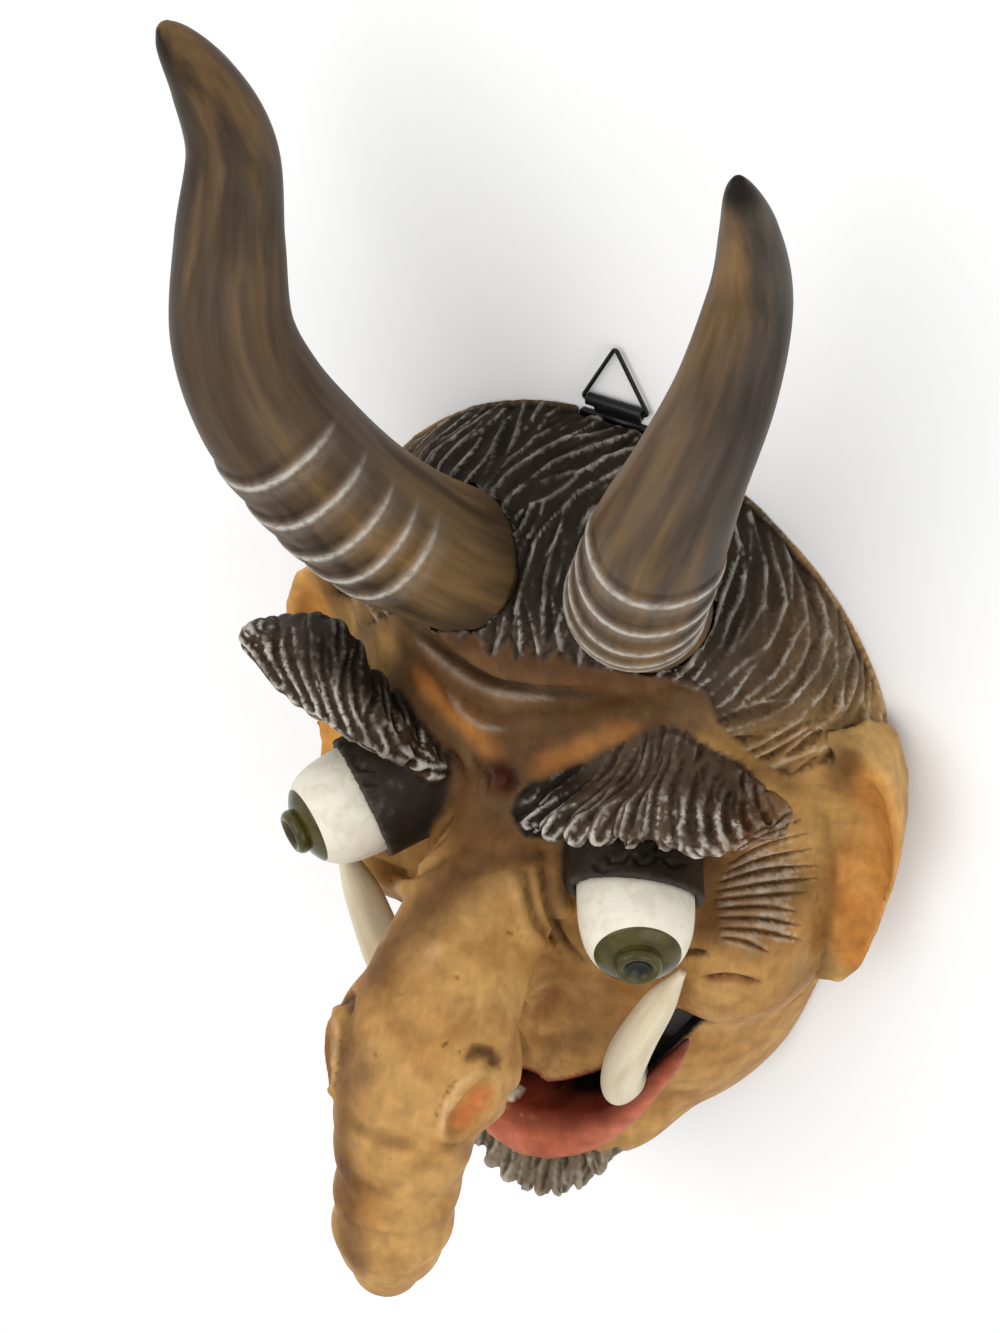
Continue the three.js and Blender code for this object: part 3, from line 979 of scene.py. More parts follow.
def store(piece: Piece, name: str, values: Array) -> None:
    """Writes a number, a vector or a colour for each point of a mesh.

    Args:
        piece: The object.
        name: The attribute's name. One named paint is kept as a colour.
        values: One row for each point.
    """
    mesh = piece.data
    if values.ndim == 1:
        mesh.attributes.new(name, "FLOAT", "POINT").data.foreach_set("value", values.astype(np.float32))
    elif name == "paint":
        rows = np.hstack([np.clip(values, 0, 1), np.ones((len(values), 1))]).astype(np.float32)
        mesh.attributes.new(name, "FLOAT_COLOR", "POINT").data.foreach_set("color", rows.ravel())
    else:
        mesh.attributes.new(name, "FLOAT_VECTOR", "POINT").data.foreach_set("vector", values.astype(np.float32).ravel())


def side_name(side: int) -> str:
    """The word for a side."""
    return "right" if side > 0 else "left"


def bands(number: int, count: int, hoop: bool = False) -> Faces:
    """The faces between neighbouring rings.

    Args:
        number: How many rings there are.
        count: How many points each ring has.
        hoop: Whether the last ring joins the first.

    Returns:
        The faces, ring by ring.
    """
    faces = []
    for i in range(number if hoop else number - 1):
        a, b = i * count, ((i + 1) % number) * count
        faces.extend([a + k, a + (k + 1) % count, b + (k + 1) % count, b + k] for k in range(count))
    return faces


def joined(first: Skin, second: Skin) -> Skin:
    """The points and faces of two skins as one."""
    start = len(first[0])
    return np.vstack([first[0], second[0]]), first[1] + [[k + start for k in face] for face in second[1]]


def loft(rings: Array, hoop: bool = False) -> Skin:
    """Joins rings of points with the same count into a skin.

    Args:
        rings: The rings, first ring to last.
        hoop: Whether the last ring joins the first; otherwise both ends are closed by a fan.

    Returns:
        The points and the faces.
    """
    number, count = rings.shape[:2]
    faces = bands(number, count, hoop)
    points = rings.reshape(-1, 3)
    if not hoop:
        first, last = number * count, number * count + 1
        points = np.vstack([points, rings[0].mean(0), rings[-1].mean(0)])
        faces.extend([first, (k + 1) % count, k] for k in range(count))
        end = (number - 1) * count
        faces.extend([last, end + k, end + (k + 1) % count] for k in range(count))
    return points, faces


def frames_along(line: Array, up: Point) -> tuple[Array, Array, Array]:
    """The directions ahead, up and across at each point of a line."""
    ahead = unit(np.gradient(line, axis=0))
    rise = unit(np.array(up) - ahead * (ahead @ np.array(up))[:, None])
    return ahead, rise, np.cross(ahead, rise)


def lathe(profile: Array, centre: Array, axis: Array, sides: int) -> Array:
    """Turns a profile about an axis.

    Args:
        profile: Rows of radius and height.
        centre: Where the axis starts.
        axis: Its direction.
        sides: How many points a ring gets.

    Returns:
        The rings, one for each row.
    """
    axis = unit(np.array(axis, float))
    first = unit(np.cross(axis, (0.0, 1.0, 0.0) if abs(axis[1]) < 0.9 else (1.0, 0.0, 0.0)))
    second = np.cross(axis, first)
    angle = turns(sides)
    circle = np.cos(angle)[:, None] * first + np.sin(angle)[:, None] * second
    return np.array(centre) + profile[:, :1, None] * circle[None] + profile[:, 1:, None] * axis[None, None]


class Finish:
    """A material under the brush, with short names for the nodes that it is made of."""

    def __init__(
        self, name: str, roughness: float, coat: float = 0.0, coat_roughness: float = 0.3, shine: float = 0.09
    ) -> None:
        """Starts a material.

        Args:
            name: The material's name.
            roughness: How dull it is all over.
            coat: How much clear wax or varnish lies on it.
            coat_roughness: How dull the varnish is.
            shine: How strongly the paint itself reflects, 0.5 for plain gloss.
        """
        self.material = bpy.data.materials.new(name)
        self.material.use_nodes = True
        self.nodes = self.material.node_tree.nodes
        self.links = self.material.node_tree.links
        self.shader = self.nodes["Principled BSDF"]
        sizes = (roughness, shine, coat, coat_roughness)
        for key, size in zip(("Roughness", "Specular IOR Level", "Coat Weight", "Coat Roughness"), sizes):
            self.shader.inputs[key].default_value = size
        self.place = self.nodes.new("ShaderNodeTexCoord").outputs["Object"]

    def wire(self, value: object, socket: Socket) -> None:
        """Feeds a socket from another one, or sets it."""
        if isinstance(value, Socket):
            self.links.new(value, socket)
        else:
            socket.default_value = (*value, 1.0) if socket.type == "RGBA" and isinstance(value, tuple) else value

    def node(self, kind: str, output: str | int, inputs: dict[str | int, object], **settings: object) -> Socket:
        """Adds a node to the material.

        Args:
            kind: The kind of node.
            output: The output wanted.
            inputs: What each input is fed with, or None to leave it.
            settings: The node's own settings.

        Returns:
            The output.
        """
        node = self.nodes.new(f"ShaderNode{kind}")
        for name, value in settings.items():
            setattr(node, name, value)
        for key, value in inputs.items():
            if value is not None:
                self.wire(value, node.inputs[key])
        return node.outputs[output]

    def read(self, name: str, output: str = "Fac") -> Socket:
        """Reads an attribute of the mesh."""
        return self.node("Attribute", output, {}, attribute_name=name)

    def stretched(self, scale: Point, vector: Socket | None = None) -> Socket:
        """The place on the piece, scaled along each axis."""
        return self.node("Mapping", "Vector", {"Scale": scale, "Vector": vector or self.place})

    def noise(self, scale: float, detail: float = 4.0, vector: Socket | None = None, warp: float = 0.0) -> Socket:
        """A cloudy pattern, with scale patches to the metre."""
        inputs = {"Scale": scale, "Detail": detail, "Distortion": warp, "Vector": vector or self.place}
        return self.node("TexNoise", "Fac", inputs)

    def span(self, value: Socket, low: float, high: float, to: Spot = (0.0, 1.0)) -> Socket:
        """Stretches the values between low and high over another range."""
        inputs = {"Value": value, "From Min": low, "From Max": high, "To Min": to[0], "To Max": to[1]}
        return self.node("MapRange", "Result", inputs)

    def times(self, first: object, second: object) -> Socket:
        """The product of two values."""
        return self.node("Math", "Value", {0: first, 1: second}, operation="MULTIPLY")

    def mix(self, share: object, first: object, second: object, kind: str = "MIX") -> Socket:
        """Lays a second colour over a first."""
        return self.node("Mix", 2, {0: share, 6: first, 7: second}, data_type="RGBA", blend_type=kind)

    def bump(self, height: Socket, depth: float, below: object = None) -> Socket:
        """Roughens the surface by depth millimetres."""
        inputs = {"Strength": 1.0, "Distance": depth * MM, "Height": height, "Normal": below}
        return self.node("Bump", "Normal", inputs)

    def done(self, colour: object, normal: object = None, roughness: object = None) -> Material:
        """Feeds the shader.

        Args:
            colour: The colour, or the socket that gives it.
            normal: The socket of the bumps, if any.
            roughness: The socket of the dullness, if it isn't even.

        Returns:
            The material.
        """
        for key, value in (("Base Color", colour), ("Normal", normal), ("Roughness", roughness)):
            if value is not None:
                self.wire(value, self.shader.inputs[key])
        return self.material


@dataclass(frozen=True)
class PaintedWood:
    """Limewood under thin paint: cloudy, with painted shade in the cuts and a painted white highlight on the crests."""

    highlight_white: Colour = (0.70, 0.66, 0.58)
    cloud: float = 150.0
    speck: float = 1500.0

    def make(self) -> Material:
        """Builds the material.

        Returns:
            The material.
        """
        f = Finish("painted_wood", 0.5)
        cloud = f.span(f.noise(self.cloud, 7, warp=0.4), 0.3, 0.7, (0.8, 1.18))
        colour = f.mix(1.0, f.read("paint", "Color"), cloud, "MULTIPLY")
        broad = f.span(f.noise(50, 4, warp=0.3), 0.4, 0.66)
        colour = f.mix(f.times(broad, 0.7), colour, (0.62, 0.47, 0.35), "MULTIPLY")
        fibre = f.noise(620, 4, f.stretched((1.0, 0.14, 0.5)))
        colour = f.mix(1.0, colour, f.span(fibre, 0.3, 0.72, (0.92, 1.06)), "MULTIPLY")
        speck = f.span(f.noise(self.speck, 2), 0.68, 0.76)
        colour = f.mix(f.times(speck, 0.4), colour, (0.045, 0.02, 0.008))
        # Painted shade: darker in the cuts and tight hollows of the carving.
        wash = f.times(f.read("hollow"), f.span(f.noise(260, 3), 0.2, 0.6, (0.6, 1.0)))
        colour = f.mix(wash, colour, (0.13, 0.10, 0.085), "MULTIPLY")
        # Painted highlight: white laid on the sharp crests of the carving, broken up by noise.
        rub = f.span(f.noise(260, 3), 0.3, 0.55, (0.35, 1.0))
        patch = f.span(f.noise(75, 2), 0.34, 0.62, (0.25, 1.0))
        crest_highlight = f.times(f.times(f.read("crest"), rub), patch)
        colour = f.mix(crest_highlight, colour, self.highlight_white)
        facets = f.bump(f.noise(110, 2), 0.35)
        normal = f.bump(fibre, 0.05, facets)
        dull = f.span(f.noise(180, 4), 0.3, 0.7, (0.45, 0.62))
        return f.done(colour, normal, dull)


@dataclass(frozen=True)
class HornStain:
    """Wood stained to look like horn, streaked along its length, with a painted white highlight on the crests of its
    rings.
    """

    highlight_white: Colour = (0.50, 0.46, 0.40)

    def make(self) -> Material:
        """Builds the material.

        Returns:
            The material.
        """
        f = Finish("horn_stain", 0.45)
        grain = f.read("grain", "Vector")
        streak = f.noise(62, 4, f.stretched((1.0, 1.0, 0.13), grain), warp=0.3)
        fine = f.noise(430, 4, f.stretched((1.0, 1.0, 0.10), grain))
        colour = f.mix(f.span(streak, 0.5, 0.7, (0.0, 0.7)), f.read("paint", "Color"), (0.23, 0.13, 0.052))
        colour = f.mix(f.span(streak, 0.49, 0.33, (0.0, 0.8)), colour, (0.016, 0.010, 0.007))
        colour = f.mix(1.0, colour, f.span(fine, 0.28, 0.72, (0.8, 1.18)), "MULTIPLY")
        greyish_white = f.span(f.noise(42, 2, f.stretched((1.0, 1.0, 0.4), grain)), 0.5, 0.75, (0.0, 0.16))
        colour = f.mix(greyish_white, colour, (0.2, 0.17, 0.14))
        colour = f.mix(f.read("tip"), colour, (0.012, 0.008, 0.006))
        # Painted highlight: white on the crests of the rings.
        rub = f.span(f.noise(380, 3), 0.3, 0.55, (0.4, 1.0))
        colour = f.mix(f.times(f.read("crest"), rub), colour, self.highlight_white)
        speck = f.span(f.noise(1300, 2), 0.7, 0.76)
        colour = f.mix(f.times(speck, 0.35), colour, (0.01, 0.006, 0.004))
        normal = f.bump(fine, 0.06, f.bump(f.noise(70, 2), 0.3))
        return f.done(colour, normal, f.span(fine, 0.3, 0.7, (0.36, 0.5)))


@dataclass(frozen=True)
class EyePaint:
    """Off-white paint, a little rubbed and flecked, with painted shade under the lid and round the foot of the egg."""

    white: Colour = (0.72, 0.68, 0.56)

    def make(self) -> Material:
        """Builds the material.

        Returns:
            The material.
        """
        f = Finish("eye_white", 0.45, shine=0.3)
        cloud = f.span(f.noise(190, 5, warp=0.6), 0.45, 0.75, (0.0, 0.5))
        colour = f.mix(cloud, self.white, (0.46, 0.41, 0.30))
        speck = f.span(f.noise(900, 3), 0.62, 0.72)
        # Painted shade under the lid, broken up by the flecks.
        lid_shade = f.times(f.read("shade"), f.span(speck, 0, 1, (0.35, 1.0)))
        colour = f.mix(lid_shade, colour, (0.10, 0.085, 0.075))
        return f.done(colour, f.bump(f.noise(260, 3), 0.08))


@dataclass(frozen=True)
class IrisGloss:
    """Dark olive lacquer, with painted shade in the pupil's hollow."""

    olive: Colour = (0.062, 0.052, 0.008)

    def make(self) -> Material:
        """Builds the material.

        Returns:
            The material.
        """
        f = Finish("iris_gloss", 0.22, coat=0.12, coat_roughness=0.08, shine=0.22)
        cloud = f.span(f.noise(160, 3, warp=0.5), 0.4, 0.75, (0.0, 0.8))
        colour = f.mix(cloud, self.olive, (0.016, 0.013, 0.004))
        # Painted shade in the pupil's hollow.
        colour = f.mix(f.read("shade"), colour, (0.005, 0.005, 0.005))
        return f.done(colour, f.bump(f.noise(220, 2), 0.05))


@dataclass(frozen=True)
class TuskPaint:
    """Cream paint, with painted shade in brown on its back and towards its foot by the lips."""

    cream: Colour = (0.66, 0.58, 0.42)

    def make(self) -> Material:
        """Builds the material.

        Returns:
            The material.
        """
        f = Finish("tusk_paint", 0.45, shine=0.3)
        grain = f.read("grain", "Vector")
        streak = f.noise(170, 5, f.stretched((1.0, 1.0, 0.2), grain), warp=0.3)
        colour = f.mix(f.span(streak, 0.42, 0.75, (0.0, 0.55)), self.cream, (0.42, 0.30, 0.16))
        # Painted shade on the back of the tusk and towards its foot.
        colour = f.mix(f.read("shade"), colour, (0.30, 0.19, 0.09))
        speck = f.span(f.noise(1100, 2), 0.68, 0.74)
        colour = f.mix(f.times(speck, 0.6), colour, (0.12, 0.06, 0.025))
        return f.done(colour, f.bump(streak, 0.12))


@dataclass(frozen=True)
class BlackSteel:
    """Black lacquered steel, a little scuffed."""

    black: Colour = (0.008, 0.008, 0.009)

    def make(self) -> Material:
        """Builds the material.

        Returns:
            The material.
        """
        f = Finish("black_steel", 0.35, coat=0.3, coat_roughness=0.2)
        f.shader.inputs["Metallic"].default_value = 0.3
        scuff = f.span(f.noise(1600, 4), 0.58, 0.72, (0.0, 0.5))
        colour = f.mix(scuff, self.black, (0.06, 0.055, 0.05))
        return f.done(colour, f.bump(f.noise(1900, 3), 0.02), f.span(f.noise(600, 3), 0.3, 0.7, (0.28, 0.5)))


# The parts of the mask


@dataclass
class HeadBlock:
    """The head: one block of limewood with its nose, brows, lids, ears, lips, hair and beard, hollowed behind."""

    half_width: float = 96.0
    crown: float = 91.0
    face_depth: float = 60.0
    wall: float = 13.0
    roundness: float = 1.9
    crown_lean: float = 0.07
    hair_rise: float = 2.0
    fringe_rise: float = 5.0
    pitch: float = 1.4
    draft_pitch: float = 2.4
    triangle_budget: int = 196000
    low: Point = (-118, -194, -4.2)
    high: Point = (118, 98, 172)

    muzzle: Ball = Ball((0, -108, 0), (70, 72, 62), power=2.3)
    chin_boss: Ball = Ball((0, -154, 36), (43, 29, 34))
    brow_ridge: Ball = Ball((0, -8, 44), (66, 22, 24))
    cheek: Ball = Ball((61, -67, 29), (28, 33, 34))
    cheek_hollow: Ball = Ball((44, -72, -1), (32, 36, 47))
    nose: Limb = Limb(
        (
            (0, -10, 44, 24), (0, -27, 64, 23), (0, -43, 93, 23), (0, -60, 117, 25), (0, -81, 134, 24),
            (0, -108, 143, 19.5), (0, -131, 150, 17), (0, -140.5, 153, 11.5),
        )
    )
    nose_rolls: Rows = ((-98, 141), (-113, 145.5), (-126, 149))
    roll_middle: float = -108.0
    roll_radius: float = 19.4
    roll_growth: float = 0.04
    roll_half_height: float = 6.5
    nostril_wing: Ball = Ball((18, -72, 124), (13, 20, 17))
    eye_centre: Point = (47.5, -22.5, 76)
    eye_axis: Point = (0.5, -0.14, 0.86)
    socket_size: tuple[float, ...] = (18.35, 28.85, 9.35, 60)
    left_lid_size: tuple[float, ...] = (20.6, 31.0, 34, 4.2, 0.12, -0.12)
    right_lid_size: tuple[float, ...] = (21.0, 31.5, 34, 1.3, 0.5, 0.16)
    brows: tuple[Brow, ...] = (LEFT_BROW, RIGHT_BROW)
    lips: Limb = Limb(
        (
            (-54.5, -101, 56, 2.2), (-49.5, -111, 57.5, 4.4), (-30, -142, 61, 7.6), (-14, -155.5, 62, 10.4),
            (0, -160, 62.5, 11.6), (14, -155.5, 62, 10.4), (30, -142, 61, 7.6), (49.5, -111, 57.5, 4.4),
            (54.5, -101, 56, 2.2),
        )
    )
    grin: Rows = (
        (-54.8, -93.5, 3.4), (-45, -107, 4.6), (-25, -134, 4.6), (0, -143, 4.4), (25, -134, 4.6), (45, -107, 4.6),
        (54.8, -93.5, 3.4),
    )
    tooth: Rows = ((-10, -156), (-3, -156), (-3.5, -146), (-8.6, -146.6))
    ear: Rows = (
        (78, 22), (98, 19), (108, 10), (112.6, -4), (113.3, -20), (111, -38), (107, -57), (102, -72), (96, -81),
        (76, -86),
    )
    ear_dish: Ball = Ball((100, -30, 31), (11, 40, 13))
    ear_heights: Spot = (4.0, 27.0)
    hairline: Rows = ((112, 110), (112, 3), (97, 1.5), (92, 8), (87, 7), (78, 3), (68, 13), (57.5, 24))
    fringe: Rows = (
        (52, 36), (46, 40), (30, 40), (15.5, 39), (9.5, 42), (4.8, 38), (0, 41), (-4, 36), (-8, 40), (-13, 34.5),
        (-20, 40), (-25, 33.5), (-30, 38), (-34, 34), (-38, 37), (-42, 30.5), (-48, 35), (-54, 31),
    )
    beard_tips: Rows = (
        (-25.5, -170, 62), (-20, -177, 65), (-13.5, -182.5, 66.5), (-6.8, -185.8, 67), (0, -186.8, 67),
        (6.8, -185.8, 67), (13.5, -182.5, 66.5), (20, -177, 65), (25.5, -170, 62),
    )

    through: Spot = (-4, 120)
    plate_notch: Rows = ((-13.4, 79), (13.4, 79), (13.4, 120), (-13.4, 120))
    ring_notch: Rows = ((-13, 93.3), (13, 93.3), (13, 120), (-13, 120))
    notch_depths: Spot = (1.8, 6.0)
    nick: Cut = Cut(1.2, 0.8, Profile.VEE, Taper.LEAF)
    lid_scale: Cut = Cut(1.5, 0.85, Profile.VEE, Taper.EVEN)
    crow_foot: Cut = Cut(1.35, 1.8, Profile.VEE, Taper.LEAF)
    # Painted white highlight beside the crow's feet.
    crow_highlight: Cut = Cut(3.4, 0.6, Profile.SWELL, Taper.EVEN)
    lock_line: Cut = Cut(2.5, 1.5, Profile.GOUGE, Taper.LOCK)
    # Painted white highlight along folds, and how many of the last crow's feet get none.
    fold_highlight_half_width: float = 2.8
    marks_without_highlight: int = 4

    def skull(self, rise: float = 0.0) -> Ball:
        """The big form of the head, swollen in depth by rise."""
        half = (self.half_width, self.crown, self.face_depth + rise)
        return Ball((0, 0, 0), half, CHIN, self.roundness, self.crown_lean)

    def hollow(self) -> Cluster:
        """The hollow behind the face.

        Returns:
            Its form: the skull, the snout and the cheeks, smaller by the wall.
        """
        wall = self.wall
        half = (self.half_width - wall, self.crown - wall, self.face_depth - wall)
        skull = Ball((0, 0, -1), half, CHIN - 2 * wall, lean=self.crown_lean)
        snout = Ball(self.muzzle.centre, tuple(reach - wall for reach in self.muzzle.half))
        cheeks = (self._at(self.cheek_hollow, side) for side in SIDES)
        return Cluster((skull, snout, *cheeks), 5.0)

    def hair_plan(self) -> Array:
        """The outline of the hair in plan."""
        return np.array([*self.hairline, *self.fringe, *((-x, y) for x, y in reversed(self.hairline))])

    def lid(self, side: int) -> EyeForm:
        """The lids of one side, which hood the top of the eye."""
        return self._eye_form(side, self.right_lid_size if side > 0 else self.left_lid_size)

    def eye_socket(self, side: int) -> EyeForm:
        """The room for one eye."""
        return self._eye_form(side, self.socket_size)

    def _eye_form(self, side: int, size: tuple[float, ...]) -> EyeForm:
        """A form that stands where the eye of one side does."""
        return EyeForm(tuple(mirrored(self.eye_centre, side)), tuple(mirrored(self.eye_axis, side)), *size)

    def mouth(self) -> Slot:
        """The opening of the grin."""
        return Slot(self.grin, -6, 115)

    def stump(self) -> Prism:
        """The one tooth, which stands up from the lower lip."""
        return Prism(self.tooth, 61, 68, round=1.2)

    def _at(self, ball: Ball, side: int) -> Ball:
        """A ball on the given side."""
        x, y, z = ball.centre
        return Ball((side * x, y, z), ball.half, ball.below, ball.power)

    def rough_out(self) -> Block:
        """Saws and bosses the block, before any drawing on it.

        Returns:
            The block.
        """
        pitch = self.pitch
        block = Block(self.low, self.high, pitch)
        block.add(self.skull())
        block.add(self.muzzle, 9)
        block.add(self.chin_boss, 8)
        block.add(self.brow_ridge, 12)
        for side in SIDES:
            block.add(self._at(self.cheek, side), 15)
        block.add(self.nose, 9)
        for y, z in self.nose_rolls:
            radius = self.roll_radius + (y - self.roll_middle) * self.roll_growth
            block.add(Ball((0, y, z), (radius * 0.97, self.roll_half_height, radius)), 5)
        for side in SIDES:
            block.add(self._at(self.nostril_wing, side), 5)
            block.add(self.lid(side), 7)
            plan = tuple((side * x, y) for x, y in self.ear)
            block.add(Prism(plan, *self.ear_heights, taper=0.93, round=1.2), 1.5)
            block.cut(self._at(self.ear_dish, side), 2.0)
        for brow in self.brows:
            block.add(brow.form(), 2.0)
        hair = Prism(tuple(map(tuple, self.hair_plan())), *self.through, round=0.8)
        block.add(Both(self.skull(self.hair_rise), hair, 5.0), 2.5)
        fringe = Prism(((52, 110), *self.fringe, (-54, 110)), *self.through, round=0.8)
        block.add(Both(self.skull(self.fringe_rise), fringe, 3.0), 3.0)
        block.add(self.lips, 2.0)
        return block

    def hollow_out(self, block: Block, sockets: Sequence[Limb]) -> None:
        """Cuts the hollow, the mouth, the sockets and the flat back.

        Args:
            block: The block, changed in place.
            sockets: The forms that the horns and tusks stand in.
        """
        block.cut(self.hollow(), 1.0)
        block.cut(self.mouth(), 1.2)
        block.add(self.stump(), 0.6)
        for side in SIDES:
            block.cut(self.eye_socket(side), 0.4)
        for socket in sockets:
            block.cut(socket, 0.3)
        for plan, depth in zip((self.plate_notch, self.ring_notch), self.notch_depths):
            block.cut(Prism(plan, -5, depth, round=0.1))
        floor = -block.axes[2].reshape(1, 1, -1).astype(np.float32)
        block.values = np.maximum(block.values, floor)

    def fold_face(self, block: Block) -> None:
        """Models the rolls, creases, dents and tufts that are drawn on the block.

        Args:
            block: The block, changed in place.
        """
        for fold in FOLDS:
            line = Sight.lift(block, fold.spots, 3.0)
            for side in SIDES if fold.both else (1,):
                self._model(block, mirrored(line, side), fold)
        for x, y, z in self.beard_tips:
            rows = ((x * 0.84, y * 0.5 - 72, 50, 7.5), (x * 0.93, y * 0.75 - 38, 58, 6.5), (x, y, z, 3.0))
            block.add(Limb(rows, step=4.0), 1.6)

    def _model(self, block: Block, line: Array, fold: "Fold") -> None:
        """Raises or sinks one fold.

        Args:
            block: The block, changed in place.
            line: The fold's line on the surface.
            fold: Its size.
        """
        fade = np.sin(np.pi * np.linspace(0.06, 0.94, len(line))) ** 0.6
        height = fold.height * fade
        offset = height - fold.radius if fold.height > 0 else height + fold.radius
        rows = np.hstack([line + block.slope(line) * offset[:, None], np.full((len(line), 1), fold.radius)])
        limb = Limb(tuple(map(tuple, rows)), step=3.5)
        if fold.height > 0:
            block.add(limb, fold.blend)
        else:
            block.cut(limb, fold.blend)

    def hair_share(self, points: Array) -> Array:
        """How far each point belongs to the hair."""
        x, y, z = points.T
        inside = -plan_distance(self.hair_plan(), x, y)
        proud = self.skull(3.5).distance(x, y, z)
        return ease(-1.2, 1.0, inside) * ease(5.0, 3.0, np.abs(proud)) * ease(0.5, 2.5, z)

    def brow_share(self, points: Array) -> Array:
        """How far each point belongs to the brows."""
        gap = np.min([brow.form().distance(*points.T) for brow in self.brows], axis=0)
        lid = np.min([self.lid(side).distance(*points.T) for side in SIDES], axis=0)
        return ease(1.9, 0.8, gap) * ease(30, 44, points[:, 2]) * ease(0.4, 2.2, lid)

    def beard_share(self, points: Array) -> Array:
        """How far each point belongs to the beard."""
        x, y, z = points.T
        lip = self.lips.distance(x, y, z)
        return ease(-160, -162.5, y) * ease(0.3, 1.0, lip) * ease(33, 30, np.abs(x)) * ease(30, 36, z)

    def fine_points(self, points: Array, marks: Sequence[Array]) -> Array:
        """Finds where small cuts are to come.

        Args:
            points: The skin's points.
            marks: The lines of the crow's feet.

        Returns:
            For each point, whether the skin is to be finer there.
        """
        near = (self.hair_share(points) > 0.02) | (self.brow_share(points) > 0.02) | (self.beard_share(points) > 0.02)
        for form in (self.lips, *(self.lid(side) for side in SIDES)):
            near |= (np.abs(form.distance(*points.T)) < 1.6) & (points[:, 2] > 50)
        found = np.zeros(len(points))
        bench = Bench(points)
        for mark in marks:
            bench.press(found, mark, Cut(4.0, 1.0, Profile.VEE, Taper.EVEN))
        return near | (found > 0)

    def strokes(self, block: Block, skin: Array, share: Array, comb: Comb, tool: "Stroke") -> list[tuple[Array, Cut]]:
        """Plans the gouge strokes of a patch of hair.

        Args:
            block: The block, for the surface.
            skin: The skin's points.
            share: How far each point belongs to the patch.
            comb: The lie of the hair.
            tool: The size of the strokes.

        Returns:
            Each stroke's path and cut.
        """
        patch = skin[share > 0.35]
        roots = patch[scattered(patch, tool.gap, tool.seed)]
        rng = np.random.default_rng(tool.seed)
        lengths = rng.uniform(*tool.length, len(roots))
        paths = comb.strands(block, roots, lengths)
        sway = rng.normal(0, tool.sway, len(roots))
        for n, path in enumerate(paths):
            out = block.slope(path[4:5])[0]
            bend = np.cross(out, unit(path[-1] - path[0]))
            path += np.outer(np.linspace(-1, 1, len(path)) ** 2 * sway[n], bend)
        cuts = [Cut(rng.uniform(*tool.half_width), rng.uniform(*tool.depth), taper=tool.taper) for _ in roots]
        return list(zip(paths, cuts))

    def combs(self, block: Block) -> dict[str, Comb]:
        """Lifts the combed lines of hair, brows and beard on to the block.

        Args:
            block: The block before it was hollowed.

        Returns:
            The lie of each patch, by its name.
        """
        crown = [Sight.lift(block, line) for line in CROWN_HAIR]
        temple = [mirrored(Sight.lift(block, line), side) for line in TEMPLE_HAIR for side in SIDES]
        beard = [
            block.settle(smooth_line(((x, -164, 66), (x * 1.1, -176, 66), (x * 1.25, -187, 64)), 3.0), 3)
            for x in (-24, -12, 0, 12, 24)
        ]
        brows = [line for brow in self.brows for line in brow.lines(block)]
        return {"hair": Comb(crown + temple), "brows": Comb(brows), "beard": Comb(beard)}

    def chisel(self, points: Array, block: Block, marks: Sequence[Array]) -> Pair:
        """Cuts the hair, brows, beard and wrinkles.

        Args:
            points: The skin's points.
            block: The block, for the surface.
            marks: The lines of the crow's feet.

        Returns:
            The cut depth and how strongly a painted white highlight is laid on the crests, for each point.
        """
        bench, combs = Bench(points), self.combs(block)
        depth, rub = np.zeros(len(points)), np.zeros(len(points))
        patches = (
            (self.hair_share, "hair", HAIR_STROKE),
            (self.brow_share, "brows", BROW_STROKE),
            (self.beard_share, "beard", BEARD_STROKE),
        )
        for find, name, tool in patches:
            share = find(points)
            sunk = np.zeros(len(points))
            for path, cut in self.strokes(block, points, share, combs[name], tool):
                bench.press(sunk, path, cut)
            if name == "brows":
                for line in combs["brows"].lines:
                    bench.press(sunk, line, self.lock_line)
            depth = np.maximum(depth, sunk * share)
            if name == "brows":
                share = share * (0.3 + 0.7 * np.max([brow.rim(points) for brow in self.brows], axis=0))
                share = share * (1 - 0.75 * ease(76, 86, points[:, 0]))
            # How strongly each patch gets the painted white highlight on its crests.
            rub = np.maximum(rub, share * tool.rub)
            LOG.info("cut the %s", name)
        sunk = np.zeros(len(points))
        for nick in NICKS:
            bench.press(sunk, Sight.lift(block, nick), self.nick)
        for scale in LID_SCALES:
            for side in SIDES:
                bench.press(sunk, mirrored(Sight.lift(block, scale), side), self.lid_scale)
        for n, mark in enumerate(marks):
            bench.press(sunk, mark, self.crow_foot)
            # Painted white highlight beside all but the last crow's feet.
            if n < len(marks) - self.marks_without_highlight:
                bench.press(rub, mark, self.crow_highlight)
        depth = np.maximum(depth, sunk)
        # Painted white highlight along the crests of some folds.
        for fold in FOLDS:
            if fold.rub:
                cut = Cut(self.fold_highlight_half_width, fold.rub, Profile.SWELL, Taper.EVEN)
                bench.press(rub, Sight.lift(block, fold.spots), cut)
        return depth, rub

